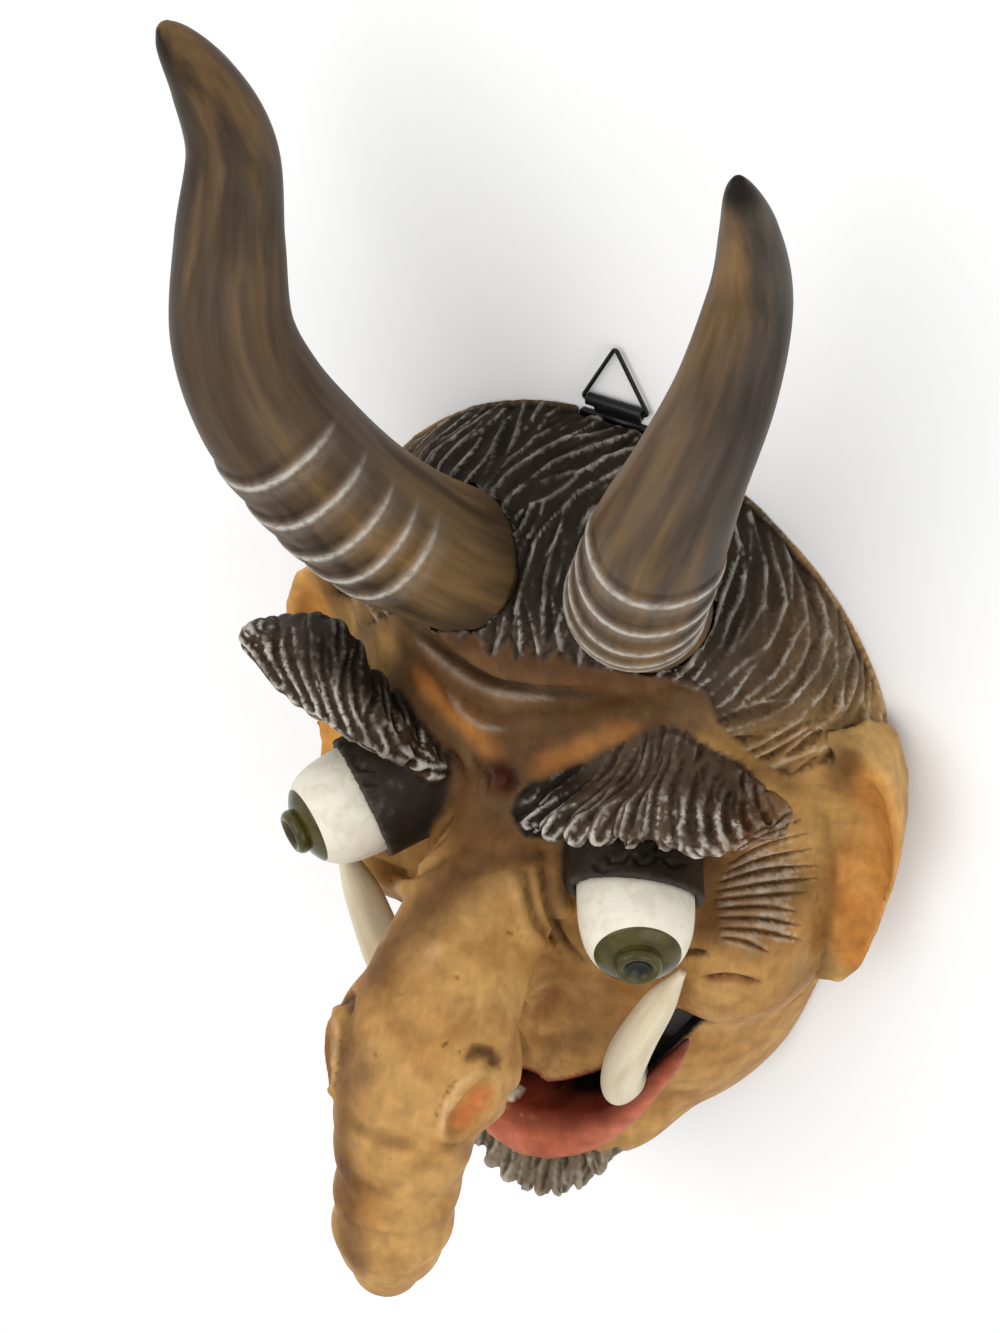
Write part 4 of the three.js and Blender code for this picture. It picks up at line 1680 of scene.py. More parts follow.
    def build(self, sockets: Sequence[Limb]) -> Piece:
        """Carves and paints the whole block.

        Args:
            sockets: The forms that the horns and tusks stand in.

        Returns:
            The finished piece.
        """
        block = self.rough_out()
        LOG.info("the block is roughed out")
        self.fold_face(block)
        marks = [mirrored(Sight.lift(block, line, 2.0), side) for line in CROW_FEET for side in SIDES]
        whole = copy.copy(block)
        whole.values = block.values.copy()
        self.hollow_out(block, sockets)
        points, faces = block.skin()
        points = block.settle(points, 1)
        LOG.info("the block is wrapped in %d triangles", len(faces))
        points, faces, fresh = refined(points, faces, self.fine_points(points, marks))
        points[fresh] = block.settle(points[fresh], 1)
        depth, rub = self.chisel(points, whole, marks)
        normals = block.slope(points)
        points = points - normals * depth[:, None]
        points[:, 2] = np.maximum(points[:, 2], 0)
        piece = build_mesh("head_block", points, faces)
        crest, hollow = relief(points, faces, normals)
        # Painted highlight: the sharpness of each crest, weighted by how strongly white is laid on it.
        store(piece, "crest", crest * np.maximum(rub, 0.06))
        # Painted shade: how tight a hollow or how deep a cut each point lies in.
        store(piece, "hollow", np.clip(0.7 * hollow + 0.14 * depth * (depth > 0.5), 0, 1))
        inner = self.hollow().distance(*points.T) < 2.5
        thin(piece, self.triangle_budget, inner)
        LOG.info("the skin is thinned to %d triangles", len(piece.data.polygons))
        rows = np.zeros(len(piece.data.vertices) * 3, np.float32)
        piece.data.vertices.foreach_get("co", rows)
        points = (rows.reshape(-1, 3).astype(float) - shift()) / MM
        store(piece, "paint", self.paint(points, whole))
        piece.data.materials.append(PaintedWood().make())
        return piece

    def paint(self, points: Array, block: Block) -> Array:
        """Lays the colours on the carved skin.

        Args:
            points: The skin's points.
            block: The block before it was hollowed.

        Returns:
            A colour for each point.
        """
        coat = Coat(points, PAINTS.ochre)
        x, y, z = points.T
        wide = np.abs(x)
        coat.wash(ease(-30, -4, y) * ease(70, 50, wide), PAINTS.forehead, 1.0)
        coat.wash(ease(-100, -150, y) * ease(110, 130, z), PAINTS.honey, 0.8)
        for side in SIDES:
            ear = ease(84, 90, side * x) * ease(26, 20, y) * ease(-88, -84, y)
            coat.wash(ear * ease(60, 40, z), PAINTS.ear_rim, 0.8)
            dish = self._at(self.ear_dish, side).distance(x, y, z)
            coat.wash(ease(7.0, 0.0, np.abs(dish)) * ear, PAINTS.ear, 0.85)
            coat.wash(ease(95, 88, side * x) * ear * ease(10, 16, z), PAINTS.umber, 0.5)
        for colour, both, sprays in SPRAYS:
            for half_width, strength, *spots in sprays:
                line = Sight.lift(block, spots)
                paths = [mirrored(line, side) for side in (SIDES if both else (1,))]
                coat.wash(coat.pass_over(paths, half_width), colour, strength)
        for side in SIDES:
            lid = self.lid(side).distance(x, y, z)
            upper = ease(-46, -28, y)
            coat.wash(ease(9, 0, lid) * ease(20, 50, z), PAINTS.umber, 0.8)
            coat.wash(ease(1.8, 0.7, lid) * ease(50, 58, z) * upper, PAINTS.lid)
        brow = self.brow_share(points)
        coat.wash(brow, PAINTS.brow)
        rim = np.max([part.rim(points) for part in self.brows], axis=0)
        coat.wash(brow * np.maximum(ease(34, 16, wide), (x < 0) * (1 - 0.6 * rim)), PAINTS.near_black, 0.85)
        coat.wash(brow * ease(72, 86, x), PAINTS.roll, 0.8)
        hair = self.hair_share(points)
        faded = hair * np.maximum(ease(2, 34, y), 0.28)
        coat.wash(faded, PAINTS.hair_side)
        coat.wash(faded * ease(80, 44, wide - 0.25 * (y - 40)), PAINTS.hair, 0.94)
        coat.wash(hair * ease(52, 40, y) * ease(62, 50, wide), PAINTS.hair_edge, 0.7)
        lips = self.lips.distance(x, y, z)
        slit = self.mouth().distance(x, y, z)
        coat.wash(ease(1.0, 0.4, lips) * ease(42, 50, z), PAINTS.lip)
        coat.wash(ease(9.5, 1.0, slit) * ease(1.4, 0.4, lips), PAINTS.lip_inside, 0.9)
        coat.wash(ease(18, 24, slit) * ease(1.4, 0.4, lips), PAINTS.blush, 0.5)
        coat.wash(ease(2.4, 1.2, slit) * ease(50, 54, z) * ease(120, 110, z), PAINTS.lip_inside)
        # Painted shade: near black on the deep walls of the mouth's opening.
        coat.wash(ease(1.9, 1.0, np.abs(slit)) * ease(59, 54, z), PAINTS.mouth_shade)
        coat.wash(self.beard_share(points), PAINTS.beard)
        tooth = self.stump().distance(x, y, z)
        coat.wash(ease(0.9, 0.4, tooth) * ease(-151.5, -149.5, y), PAINTS.ivory)
        inner = self.hollow().distance(x, y, z)
        coat.wash(np.maximum(ease(2.0, 1.0, inner), ease(0.6, 0.1, z)), PAINTS.raw_wood)
        return coat.colour


@dataclass(frozen=True)
class Fold:
    """A roll or crease along picture spots: its round, and its height above the surface, or below it if negative."""

    spots: tuple[float, ...]
    radius: float
    height: float
    blend: float = 2.0
    both: bool = False
    # How strongly a painted white highlight runs along the fold's crest.
    rub: float = 0.0


@dataclass(frozen=True)
class Stroke:
    """The size of the strokes that cut a patch of hair, each as a least and a most."""

    gap: float
    length: tuple[float, float]
    half_width: tuple[float, float]
    depth: tuple[float, float]
    taper: Taper
    # How strongly the painted white highlight is laid on the patch's crests.
    rub: float
    seed: int
    sway: float = 0.8


HAIR_STROKE = Stroke(6.6, (18, 40), (2.6, 4.2), (1.2, 2.6), Taper.LEAF, 0.44, 11, 1.6)
BROW_STROKE = Stroke(7.0, (12, 19), (1.1, 1.9), (0.6, 1.2), Taper.LEAF, 0.85, 12, 0.6)
BEARD_STROKE = Stroke(5.8, (12, 22), (1.4, 2.3), (0.8, 1.4), Taper.LEAF, 0.35, 13, 0.7)

# Lines of picture spots, x and y of each spot in turn
CROWN_HAIR: Rows = (
    (640, 440, 585, 470, 535, 520, 505, 575, 490, 640), (637, 443, 577, 470, 530, 487, 503, 527, 487, 593, 470, 627),
    (620, 417, 563, 437, 520, 460, 497, 487), (570, 520, 560, 593, 557, 653),
    (650, 500, 600, 530, 570, 580, 550, 650), (477, 413, 460, 427, 440, 440), (517, 407, 510, 427, 503, 447),
    (460, 593, 440, 620), (503, 600, 503, 653), (530, 600, 543, 653),
)
TEMPLE_HAIR: Rows = (
    (740, 507, 740, 573, 720, 627), (770, 520, 785, 600, 770, 660, 735, 700),
    (773, 517, 790, 573, 780, 627, 753, 660, 730, 680), (800, 545, 830, 620, 820, 680, 790, 710, 740, 725),
    (830, 580, 862, 650, 858, 700, 820, 745, 780, 770), (860, 620, 888, 690, 885, 735),
)
CROW_FEET: Rows = (
    (731, 846, 765, 828, 799, 808), (727, 855, 768, 836, 806, 818), (725, 866, 765, 847, 810, 833),
    (720, 875, 765, 860, 814, 849), (713, 884, 767, 871, 822, 866), (712, 892, 769, 884, 822, 878),
    (711, 900, 765, 896, 811, 892), (713, 909, 763, 907, 800, 912), (713, 918, 761, 919, 803, 926),
    (714, 928, 757, 931, 806, 941), (717, 937, 745, 942, 771, 954), (677, 953, 692, 951, 707, 952),
    (700, 977, 730, 976, 763, 982),
)
NICKS: Rows = (
    (441, 1048, 450, 1040), (458, 1056, 464, 1048), (505, 930, 515, 935), (450, 976, 462, 980), (396, 988, 401, 998),
    (371, 1052, 378, 1059),
)
LID_SCALES: Rows = (
    (603, 852, 610, 862, 622, 862, 632, 852), (630, 852, 640, 864, 654, 862, 662, 850),
    (660, 854, 672, 866, 684, 864, 690, 852), (590, 862, 600, 872, 612, 870), (616, 838, 626, 846, 640, 840),
    (644, 840, 656, 847, 668, 842),
)
FOLDS: tuple[Fold, ...] = tuple(Fold(*row) for row in (
    ((520, 748, 570, 742, 620, 722), 16, -3.2, 8),
    ((405, 600, 433, 617, 477, 648, 520, 669, 564, 678, 633, 682, 694, 671), 7, 4.2, 4),
    ((392, 612, 416, 626, 455, 658, 490, 681, 533, 692, 600, 694), 2.6, -3.4, 1.6),
    ((398, 630, 412, 637, 446, 670, 477, 692, 499, 699, 538, 700, 590, 705), 5.5, 2.6, 2.6, False, 0.8),
    ((440, 668, 455, 700, 465, 716, 480, 726, 505, 730, 540, 724), 4.0, 1.9, 2.2, False, 0.7),
    ((490, 772, 504, 786), 6.5, 3.6, 2), ((478, 765, 485, 778, 483, 792), 1.6, -2.2, 1),
    ((512, 768, 515, 780, 508, 794), 1.6, -2.2, 1), ((443, 747, 455, 760, 463, 775), 1.9, -2.2, 1),
    ((470, 752, 474, 764, 480, 772), 1.6, -1.8, 1), ((455, 872, 490, 862, 530, 856, 560, 848), 3.6, -2.4, 2),
    ((515, 878, 519, 903, 527, 930, 548, 949), 2.6, 2.2, 1.2, True),
    ((526, 868, 531, 900, 538, 922, 556, 942), 1.8, -1.4, 1.4, True),
    ((543, 856, 547, 892, 560, 932, 582, 960), 2.2, -2.0, 1.6, True),
    ((555, 870, 560, 900, 573, 932, 590, 955), 3.4, 1.8, 2.2, True),
    ((363, 857, 385, 868, 410, 877, 443, 860), 2.4, -2.6, 1.6),
    ((360, 866, 405, 888, 446, 870), 3.0, 2.0, 2, False, 0.4),
    ((563, 998, 564, 1024, 542, 1060, 512, 1098), 3.4, -2.8, 3, True),
    ((520, 1024, 532, 998, 549, 982, 572, 978, 602, 984), 2.6, 2.0, 1.8, True),
    ((556, 986, 549, 1000, 540, 1012, 526, 1024), 5.5, -3.2, 1.0, True),
    ((464, 1064, 478, 1050, 491, 1054, 497, 1068), 2.6, -3.0, 1.6, True),
    ((443, 1138, 448, 1110, 463, 1087, 482, 1074, 495, 1074), 2.3, 2.8, 0.9, True),
    ((497, 1076, 494, 1100, 477, 1121, 458, 1136, 443, 1138), 2.3, 2.8, 0.9, True),
    ((454, 1124, 470, 1105, 486, 1087), 5.0, -3.0, 0.8, True), ((350, 1118, 385, 1138, 424, 1146), 3.0, -2.0, 2.5),
    ((346, 1178, 375, 1190, 404, 1190), 3.0, -1.8, 2.5), ((350, 1230, 380, 1240, 404, 1238), 3.0, -1.8, 2.5),
    ((468, 1194, 474, 1214), 3.5, 3.0, 2), ((598, 862, 612, 845, 638, 847), 2.4, -1.2, 1.2, True),
    ((638, 862, 653, 846, 680, 857), 2.4, -1.2, 1.2, True),
))
# Soft passes of thinned paint, in order: a colour, whether both sides get it, and rows of half width, strength, spots.
# Some passes are painted shade and one is a painted highlight, as marked below.
SPRAYS: tuple[tuple[Colour, bool, Rows], ...] = (
    (PAINTS.orange, True, ((8, 0.8, 530, 770, 590, 748, 640, 728),)),
    (PAINTS.orange, False, ((6, 0.9, 412, 668, 440, 700, 477, 738, 505, 758),)),
    (PAINTS.roll, False, ((6, 0.45, 405, 600, 451, 641, 499, 672, 560, 684, 651, 684, 694, 671),)),
    # Painted shade in the crease under the big forehead roll.
    (PAINTS.near_black, False, ((2.6, 0.6, 396, 615, 455, 658, 500, 683, 560, 693, 620, 695),)),
    # Painted shade in the valleys between the forehead rolls and in the broad crease below them.
    (PAINTS.umber, False, (
        (4, 0.8, 450, 690, 480, 712, 510, 718, 560, 712), (7, 0.55, 470, 740, 520, 745, 570, 725, 630, 700),
    )),
    (PAINTS.red_brown, False, ((9, 1.0, 490, 770, 508, 790),)),
    (PAINTS.roll, False, ((2.6, 0.8, 412, 640, 446, 669, 476, 689, 500, 696, 550, 700),)),
    # Painted highlight along the crests of the forehead rolls.
    (PAINTS.greyish_white, False, (
        (1.5, 0.75, 412, 636, 446, 665, 476, 686, 500, 694, 560, 700),
        (1.3, 0.6, 446, 690, 462, 713, 480, 726, 506, 730),
    )),
    (PAINTS.umber, False, ((8.5, 0.9, 360, 590, 400, 605, 470, 645, 560, 668, 680, 668),)),
    # The first row is painted shade where the top of the ear meets the head.
    (PAINTS.umber, True, (
        (8, 0.8, 850, 745, 845, 775, 834, 800), (3.5, 0.7, 509, 800, 573, 768, 640, 738, 671, 718),
    )),
    (PAINTS.umber, False, ((8, 0.8, 440, 745, 462, 775, 480, 795),)),
    (PAINTS.temple, True, ((15, 0.95, 700, 740, 760, 775, 830, 800, 850, 860),)),
    # The row that starts at (543, 850) is painted shade along the crease between the nose and the eye.
    (PAINTS.umber, True, (
        (5, 0.4, 700, 720, 760, 765, 815, 800), (17, 0.7, 700, 860, 770, 880, 800, 900),
        (12, 0.5, 715, 920, 780, 935), (9, 0.6, 700, 850, 712, 900, 700, 950),
        (3.5, 0.7, 543, 850, 547, 892, 560, 930, 584, 960), (7, 0.8, 566, 850, 575, 900),
        (2.2, 0.6, 526, 868, 531, 900, 538, 922, 556, 942), (11, 0.6, 495, 800, 500, 830, 540, 850),
    )),
    (PAINTS.umber, False, (
        (5, 0.6, 455, 850, 500, 858, 550, 852), (19, 0.6, 490, 850, 446, 888, 414, 922, 388, 958, 368, 1000),
        (9, 0.5, 470, 868, 436, 890, 420, 905), (9, 0.4, 400, 930, 372, 975), (9, 0.6, 362, 1060, 366, 1085),
        (12, 0.6, 354, 1000, 345, 1060, 340, 1130, 345, 1230, 365, 1290),
    )),
    (PAINTS.red_brown, False, ((8, 0.6, 334, 990, 328, 1020, 326, 1060, 332, 1110),)),
    (PAINTS.roll, False, ((12, 0.6, 350, 1050, 356, 1095),)),
    (PAINTS.umber, False, (
        (10, 0.5, 345, 1165, 360, 1190), (9, 0.45, 344, 1240, 356, 1268), (10, 0.55, 478, 858, 440, 900, 405, 935),
        (4, 0.5, 350, 1122, 385, 1140, 420, 1146), (4, 0.45, 346, 1182, 392, 1195),
    )),
    (PAINTS.roll, False, ((8, 0.55, 344, 1150, 348, 1210, 365, 1275),)),
    (PAINTS.blush, False, ((7, 0.5, 425, 950, 440, 960),)),
    (PAINTS.terracotta, True, ((5.5, 1.0, 454, 1124, 470, 1105, 486, 1087),)),
    (PAINTS.blush, True, ((1.6, 0.7, 441, 1136, 445, 1110, 459, 1085, 480, 1071),)),
    (PAINTS.umber, True, (
        (4, 0.85, 464, 1064, 478, 1050, 491, 1054, 497, 1068), (5, 0.35, 440, 1140, 470, 1150, 500, 1120),
    )),
    (PAINTS.dimple, True, ((5, 0.6, 556, 986, 548, 1001, 530, 1020),)),
    (PAINTS.umber, True, ((5, 0.45, 565, 1030, 545, 1060, 512, 1096), (7, 0.35, 566, 1050, 590, 1030))),
    (PAINTS.dimple, True, ((2.4, 0.8, 700, 977, 763, 982),)),
    (PAINTS.near_black, True, ((2.4, 0.8, 675, 953, 709, 952),)),
    # Painted shadow along the front edge of the ear.
    (PAINTS.umber, True, ((3, 0.35, 826, 810, 832, 870, 828, 940),)),
)


def relief(points: Array, faces: Array, normals: Array) -> Pair:
    """Finds the sharp crests and the cuts of a skin.

    Args:
        points: The skin's points.
        faces: Its triangles.
        normals: The direction out of the skin at each point.

    Returns:
        How sharp a crest and how tight a hollow each point is on, from 0 to 1.
    """
    ends = np.vstack([faces[:, [0, 1]], faces[:, [1, 2]], faces[:, [2, 0]]])
    a, b = ends.T
    count = np.maximum(np.bincount(a, minlength=len(points)), 1)

    def around(values: Array) -> Array:
        return np.bincount(a, values[b], minlength=len(points)) / count

    middle = np.stack([around(points[:, i]) for i in range(3)], axis=1)
    edge = np.bincount(a, np.linalg.norm(points[a] - points[b], axis=1), minlength=len(points)) / count
    bend = ((points - middle) * normals).sum(1) * 4 / np.maximum(edge, 0.3) ** 2
    bend = 0.6 * bend + 0.4 * around(bend)
    crest = ease(0.34, 0.76, 0.45 * bend + 0.55 * around(bend))
    return crest, ease(0.12, 0.75, -bend)


def thin(piece: Piece, budget: int, spare: Array) -> None:
    """Takes out triangles, first where the skin is plain.

    Args:
        piece: The mesh object.
        budget: How many triangles may stay.
        spare: For each point, whether it lies where few are needed.
    """
    count = len(piece.data.polygons)
    if count <= budget:
        return
    group = piece.vertex_groups.new(name="spare")
    group.add(np.flatnonzero(spare).tolist(), 1.0, "REPLACE")
    group.add(np.flatnonzero(~spare).tolist(), 0.85, "REPLACE")
    thinner = piece.modifiers.new("thin", "DECIMATE")
    thinner.ratio = budget / count
    thinner.vertex_group = "spare"
    thinner.vertex_group_factor = 0.001
    graph = bpy.context.evaluated_depsgraph_get()
    mesh = bpy.data.meshes.new_from_object(piece.evaluated_get(graph))
    piece.modifiers.clear()
    piece.vertex_groups.clear()
    old, piece.data = piece.data, mesh
    bpy.data.meshes.remove(old)


def with_ends(values: Array) -> Array:
    """The values of a loft's rings in the order of its points, with one more for each end."""
    flat = values.reshape(-1, *values.shape[2:])
    return np.concatenate([flat, values[0].mean(0, keepdims=True), values[-1].mean(0, keepdims=True)])


@dataclass
class Sweep:
    """A bar along a line of rows (x, y, z, radius), flattened across its front if wanted."""

    rows: Array
    sides: int
    flatness: float = 1.0

    def __post_init__(self) -> None:
        """Finds how far along each ring is, and the way out of the bar at each of its points."""
        line = self.rows[:, :3]
        _, rise, across = frames_along(line, (0, 0, 1))
        self.along = np.concatenate([[0], np.cumsum(np.linalg.norm(np.diff(line, axis=0), axis=1))])
        self.angle = turns(self.sides)
        beside = self.flatness * np.sin(self.angle)[None, :, None] * across[:, None]
        self.out = np.cos(self.angle)[None, :, None] * rise[:, None] + beside

    def round_it(self, values: Array) -> Array:
        """Repeats a value for each ring on all of its points."""
        return np.repeat(values[:, None], self.sides, axis=1)

    def skin(self, name: str, radius: Array, start: float) -> Piece:
        """Makes the bar.

        Args:
            name: The piece's name.
            radius: The radius at each point of each ring.
            start: Where in the grain's pattern the piece begins.

        Returns:
            The piece, with the lie of its grain stored.
        """
        points, faces = loft(self.rows[:, None, :3] + self.out * radius[..., None])
        piece = build_mesh(name, points, faces)
        grain = (radius * np.cos(self.angle), radius * np.sin(self.angle), self.round_it(self.along))
        store(piece, "grain", with_ends(np.stack(grain, axis=2) * MM + start))
        return piece


@dataclass
class Horn:
    """A horn of one side, with ridges round the front of its foot."""

    side: int
    line: Rows = (
        (31, 49, 38, 22.5), (40, 72, 62, 22.5), (48, 89, 75, 22.3), (57, 110, 86, 21.5), (66, 131, 93, 20.0),
        (73, 152, 94, 18.0), (78, 176, 85, 15.6), (80.5, 200, 77, 13.2), (82.5, 224, 84, 9.6), (84.5, 242, 94, 5.0),
        (85.5, 246.5, 96.5, 2.2),
    )
    sides: int = 96
    step: float = 0.75
    rings: tuple[float, ...] = (44.0, 54.0, 66.0, 80.0, 95.0)
    ridge_start: float = 26.0
    ring_groove: float = 2.4
    ring_rise: float = 1.7
    tip_black: float = 0.0
    stops: tuple[float, ...] = (0, 0.12, 0.35, 0.6, 0.82, 1.0)
    shades: tuple[Colour, ...] = (
        (0.05, 0.033, 0.018), (0.135, 0.085, 0.041), (0.092, 0.058, 0.032), (0.07, 0.045, 0.026),
        (0.05, 0.032, 0.019), (0.022, 0.014, 0.009),
    )
    outer_side_grey: Colour = (0.06, 0.05, 0.042)

    def socket(self) -> Limb:
        """The form that its socket is cut with."""
        return Limb(tuple((self.side * x, y, z, r - 0.3) for x, y, z, r in self.line[:5]), step=5.0)

    def build(self) -> Piece:
        """Sweeps the horn and marks what its stain needs.

        Returns:
            The piece, without its stain.
        """
        rows = smooth_line(self.line, self.step)
        rows = np.vstack([rows, rows[-1] + 0.35 * (rows[-1] - rows[-2]) * np.array((1, 1, 1, 0))])
        rows[-1, 3] = 0.4
        rows[-2, 3] *= 0.8
        rows[:, 0] *= self.side
        sweep = Sweep(rows, self.sides)
        along, angle, out = sweep.along, sweep.angle, sweep.out
        front = ease(-0.45, 0.25, out @ unit(np.array((0.0, -0.75, 0.66))))
        sway = 1.1 * np.sin(2 * angle + 0.8) + 0.6 * np.sin(3 * angle + 2.2)
        place = along[:, None] + sway[None]
        steps = ((0, 1), (self.ring_groove, 0))
        knots = np.array([(self.ridge_start, 0), *((ring + gap, high) for ring in self.rings for gap, high in steps)])
        swell = np.sin(np.interp(place, *knots.T) * math.pi / 2) ** 0.8
        fade = front * ease(24, 42, place) * ease(self.rings[-1] + 6, self.rings[-1] + 1, place)
        line = np.max([np.exp(-(((place - ring) / 0.9) ** 2)) for ring in self.rings], axis=0)
        wave = 0.35 * np.sin(along / 9.0)[:, None] * np.sin(angle * 2 + 1)[None]
        radius = rows[:, 3:] + self.ring_rise * (swell - 0.45) * fade + wave * ease(0, 30, along)[:, None] * 0.6
        radius = np.maximum(radius, 0.3)
        piece = sweep.skin(f"horn_{side_name(self.side)}_wood", radius, self.side * 0.3)
        # Painted highlight: where white is laid along the crests of the rings.
        crest = fade * np.maximum(line, 0.14 * ease(0.75, 1.0, swell))
        t = along / along[-1]
        colour = sweep.round_it(np.stack([np.interp(t, self.stops, shade) for shade in zip(*self.shades)], axis=1))
        # Greyer towards the side of each horn that faces away from the middle.
        outer = ease(0.0, 0.95, out @ np.array((float(self.side), 0.15, 0.0)))[..., None]
        colour = colour + (np.array(self.outer_side_grey) - colour) * outer * 0.75
        # Painted shade: darker in the grooves between the rings.
        colour = colour * (1 - 0.55 * fade * (1 - swell) ** 2)[..., None]
        tip = sweep.round_it(self.tip_black * ease(0.935, 0.985, t))
        for name, values in (("crest", crest), ("tip", tip), ("paint", colour)):
            store(piece, name, with_ends(values))
        return piece


RIGHT_HORN = (
    (31, 55, 38, 19.5), (40, 76, 61.5, 19.8), (47.3, 90.5, 75.3, 20), (56.3, 110.2, 86.2, 19.6),
    (64.8, 131.4, 93.3, 18.4), (72.6, 152.1, 94.1, 16.2), (78.7, 175.8, 84.8, 13.5), (80.9, 199.9, 76.8, 11.4),
    (83.3, 224.1, 83.4, 7.6), (85.2, 241.5, 93, 3.6), (86, 246.2, 95.8, 1.5),
)


@dataclass
class Tusk:
    """A tusk of one side: a flattened crescent, blunt at its foot."""

    side: int
    line: Rows = (
        (38, -123, 57, 6.4), (40, -113, 71, 8.0), (45.5, -93, 76, 8.3), (54.5, -70, 75, 6.8), (63, -51, 74, 1.6),
    )
    flatness: float = 0.8
    foot_round: float = 6.5
    sides: int = 48
    step: float = 0.7

    def socket(self) -> Limb:
        """The form that its socket is cut with."""
        rows = tuple((self.side * x, y, z, r - 0.3) for x, y, z, r in self.line)
        return Limb(rows, self.flatness, (0, 0, 1), 5.0)

    def build(self) -> Piece:
        """Sweeps and paints the tusk.

        Returns:
            The finished piece.
        """
        rows = smooth_line(self.line, self.step)
        rows[:, 0] *= self.side
        sweep = Sweep(rows, self.sides, self.flatness)
        along = sweep.along
        foot = np.sqrt(np.clip(1 - (1 - (along + 0.3) / self.foot_round) ** 2, 0, 1))
        foot[along > 6] = 1
        uneven = 1 + 0.03 * np.sin(3 * sweep.angle + 0.5)[None] + 0.02 * np.sin(along / 5)[:, None]
        radius = (rows[:, 3] * foot)[:, None] * uneven
        piece = sweep.skin(f"tusk_{side_name(self.side)}_wood", radius, self.side * 0.2)
        # Painted shade: darker on the side that faces back into the face and near the foot.
        inner = ease(0.1, 0.9, -(sweep.out @ np.array((0.0, 0.0, 1.0))))
        store(piece, "shade", with_ends(0.75 * np.maximum(inner, ease(12, 0, along)[:, None] * 0.6)))
        piece.data.materials.append(TuskPaint().make())
        return piece


@dataclass
class Eye:
    """An eye of one side: an egg of white with a raised iris and a hollow pupil."""

    side: int
    centre: Point = (47.5, -22.5, 76)
    axis: Point = (0.5, -0.14, 0.86)
    radius: float = 18.0
    length: float = 28.5
    plug: float = 9.0
    iris: float = 13.1
    dome: float = 2.6
    dome_width: float = 6.2
    pupil: Rows = (
        (7.3, 0.5), (7.4, 1.7), (7.0, 2.9), (6.1, 3.7), (5.2, 3.6), (4.2, 2.7), (3.2, 1.7), (1.8, 1.0), (0.3, 0.8),
    )
    power: float = 3.1
    sides: int = 96

    def build(self, white: Material, gloss: Material) -> Piece:
        """Turns the eye and paints its two parts.

        Args:
            white: The paint of the egg.
            gloss: The lacquer of the iris.

        Returns:
            The finished piece.
        """
        bend = 2 / self.power
        last = math.acos((self.iris / self.radius) ** (1 / bend))
        egg = [(self.radius * math.cos(a) ** bend, self.length * math.sin(a) ** bend) for a in np.linspace(0, last, 40)]
        top = egg[-1][1]
        foot = ((self.radius * 0.96, -self.plug), (self.radius, -self.plug + 0.8))
        profile = [*foot, *egg[:-1], (self.iris + 0.1, top - 0.1)]
        edge = len(profile)
        profile += [(self.iris - 0.1, top + 0.25)]
        for u in np.linspace(0.08, 1, 14):
            height = top + 0.25 + self.dome * math.sin(u * math.pi / 2)
            profile.append((self.iris - self.dome_width * u, height))
        profile += [(radius, height + rise) for radius, rise in self.pupil]
        rows = np.array(profile)
        axis = unit(mirrored(self.axis, self.side))
        rings = lathe(rows, mirrored(self.centre, self.side), axis, self.sides)
        points, faces = loft(rings)
        piece = build_mesh(f"eye_{side_name(self.side)}_wood", points, faces)
        piece.data.materials.append(white)
        piece.data.materials.append(gloss)
        ring = np.repeat(np.arange(len(rows) - 1), self.sides)
        index = np.concatenate([(ring >= edge - 1).astype(int), np.zeros(self.sides, int), np.ones(self.sides, int)])
        piece.data.polygons.foreach_set("material_index", index[: len(piece.data.polygons)])
        spokes = unit(rings - rings.mean(1, keepdims=True))
        up = spokes @ np.array((0.0, 1.0, 0.0))
        height = rows[:, 1][:, None]
        # Painted shade: on the white, darker under the lid and round its foot; on the iris, darker in the pupil's
        # hollow.
        shade = 0.55 * ease(15, 5, height) * ease(-0.1, 0.9, up) + 0.3 * ease(3, 0, height)
        shade = np.where(height > top + self.dome, ease(5.0, 3.3, rows[:, :1]) * 0.9, shade * (height < top))
        store(piece, "shade", with_ends(shade * np.ones((1, self.sides))))
        return piece


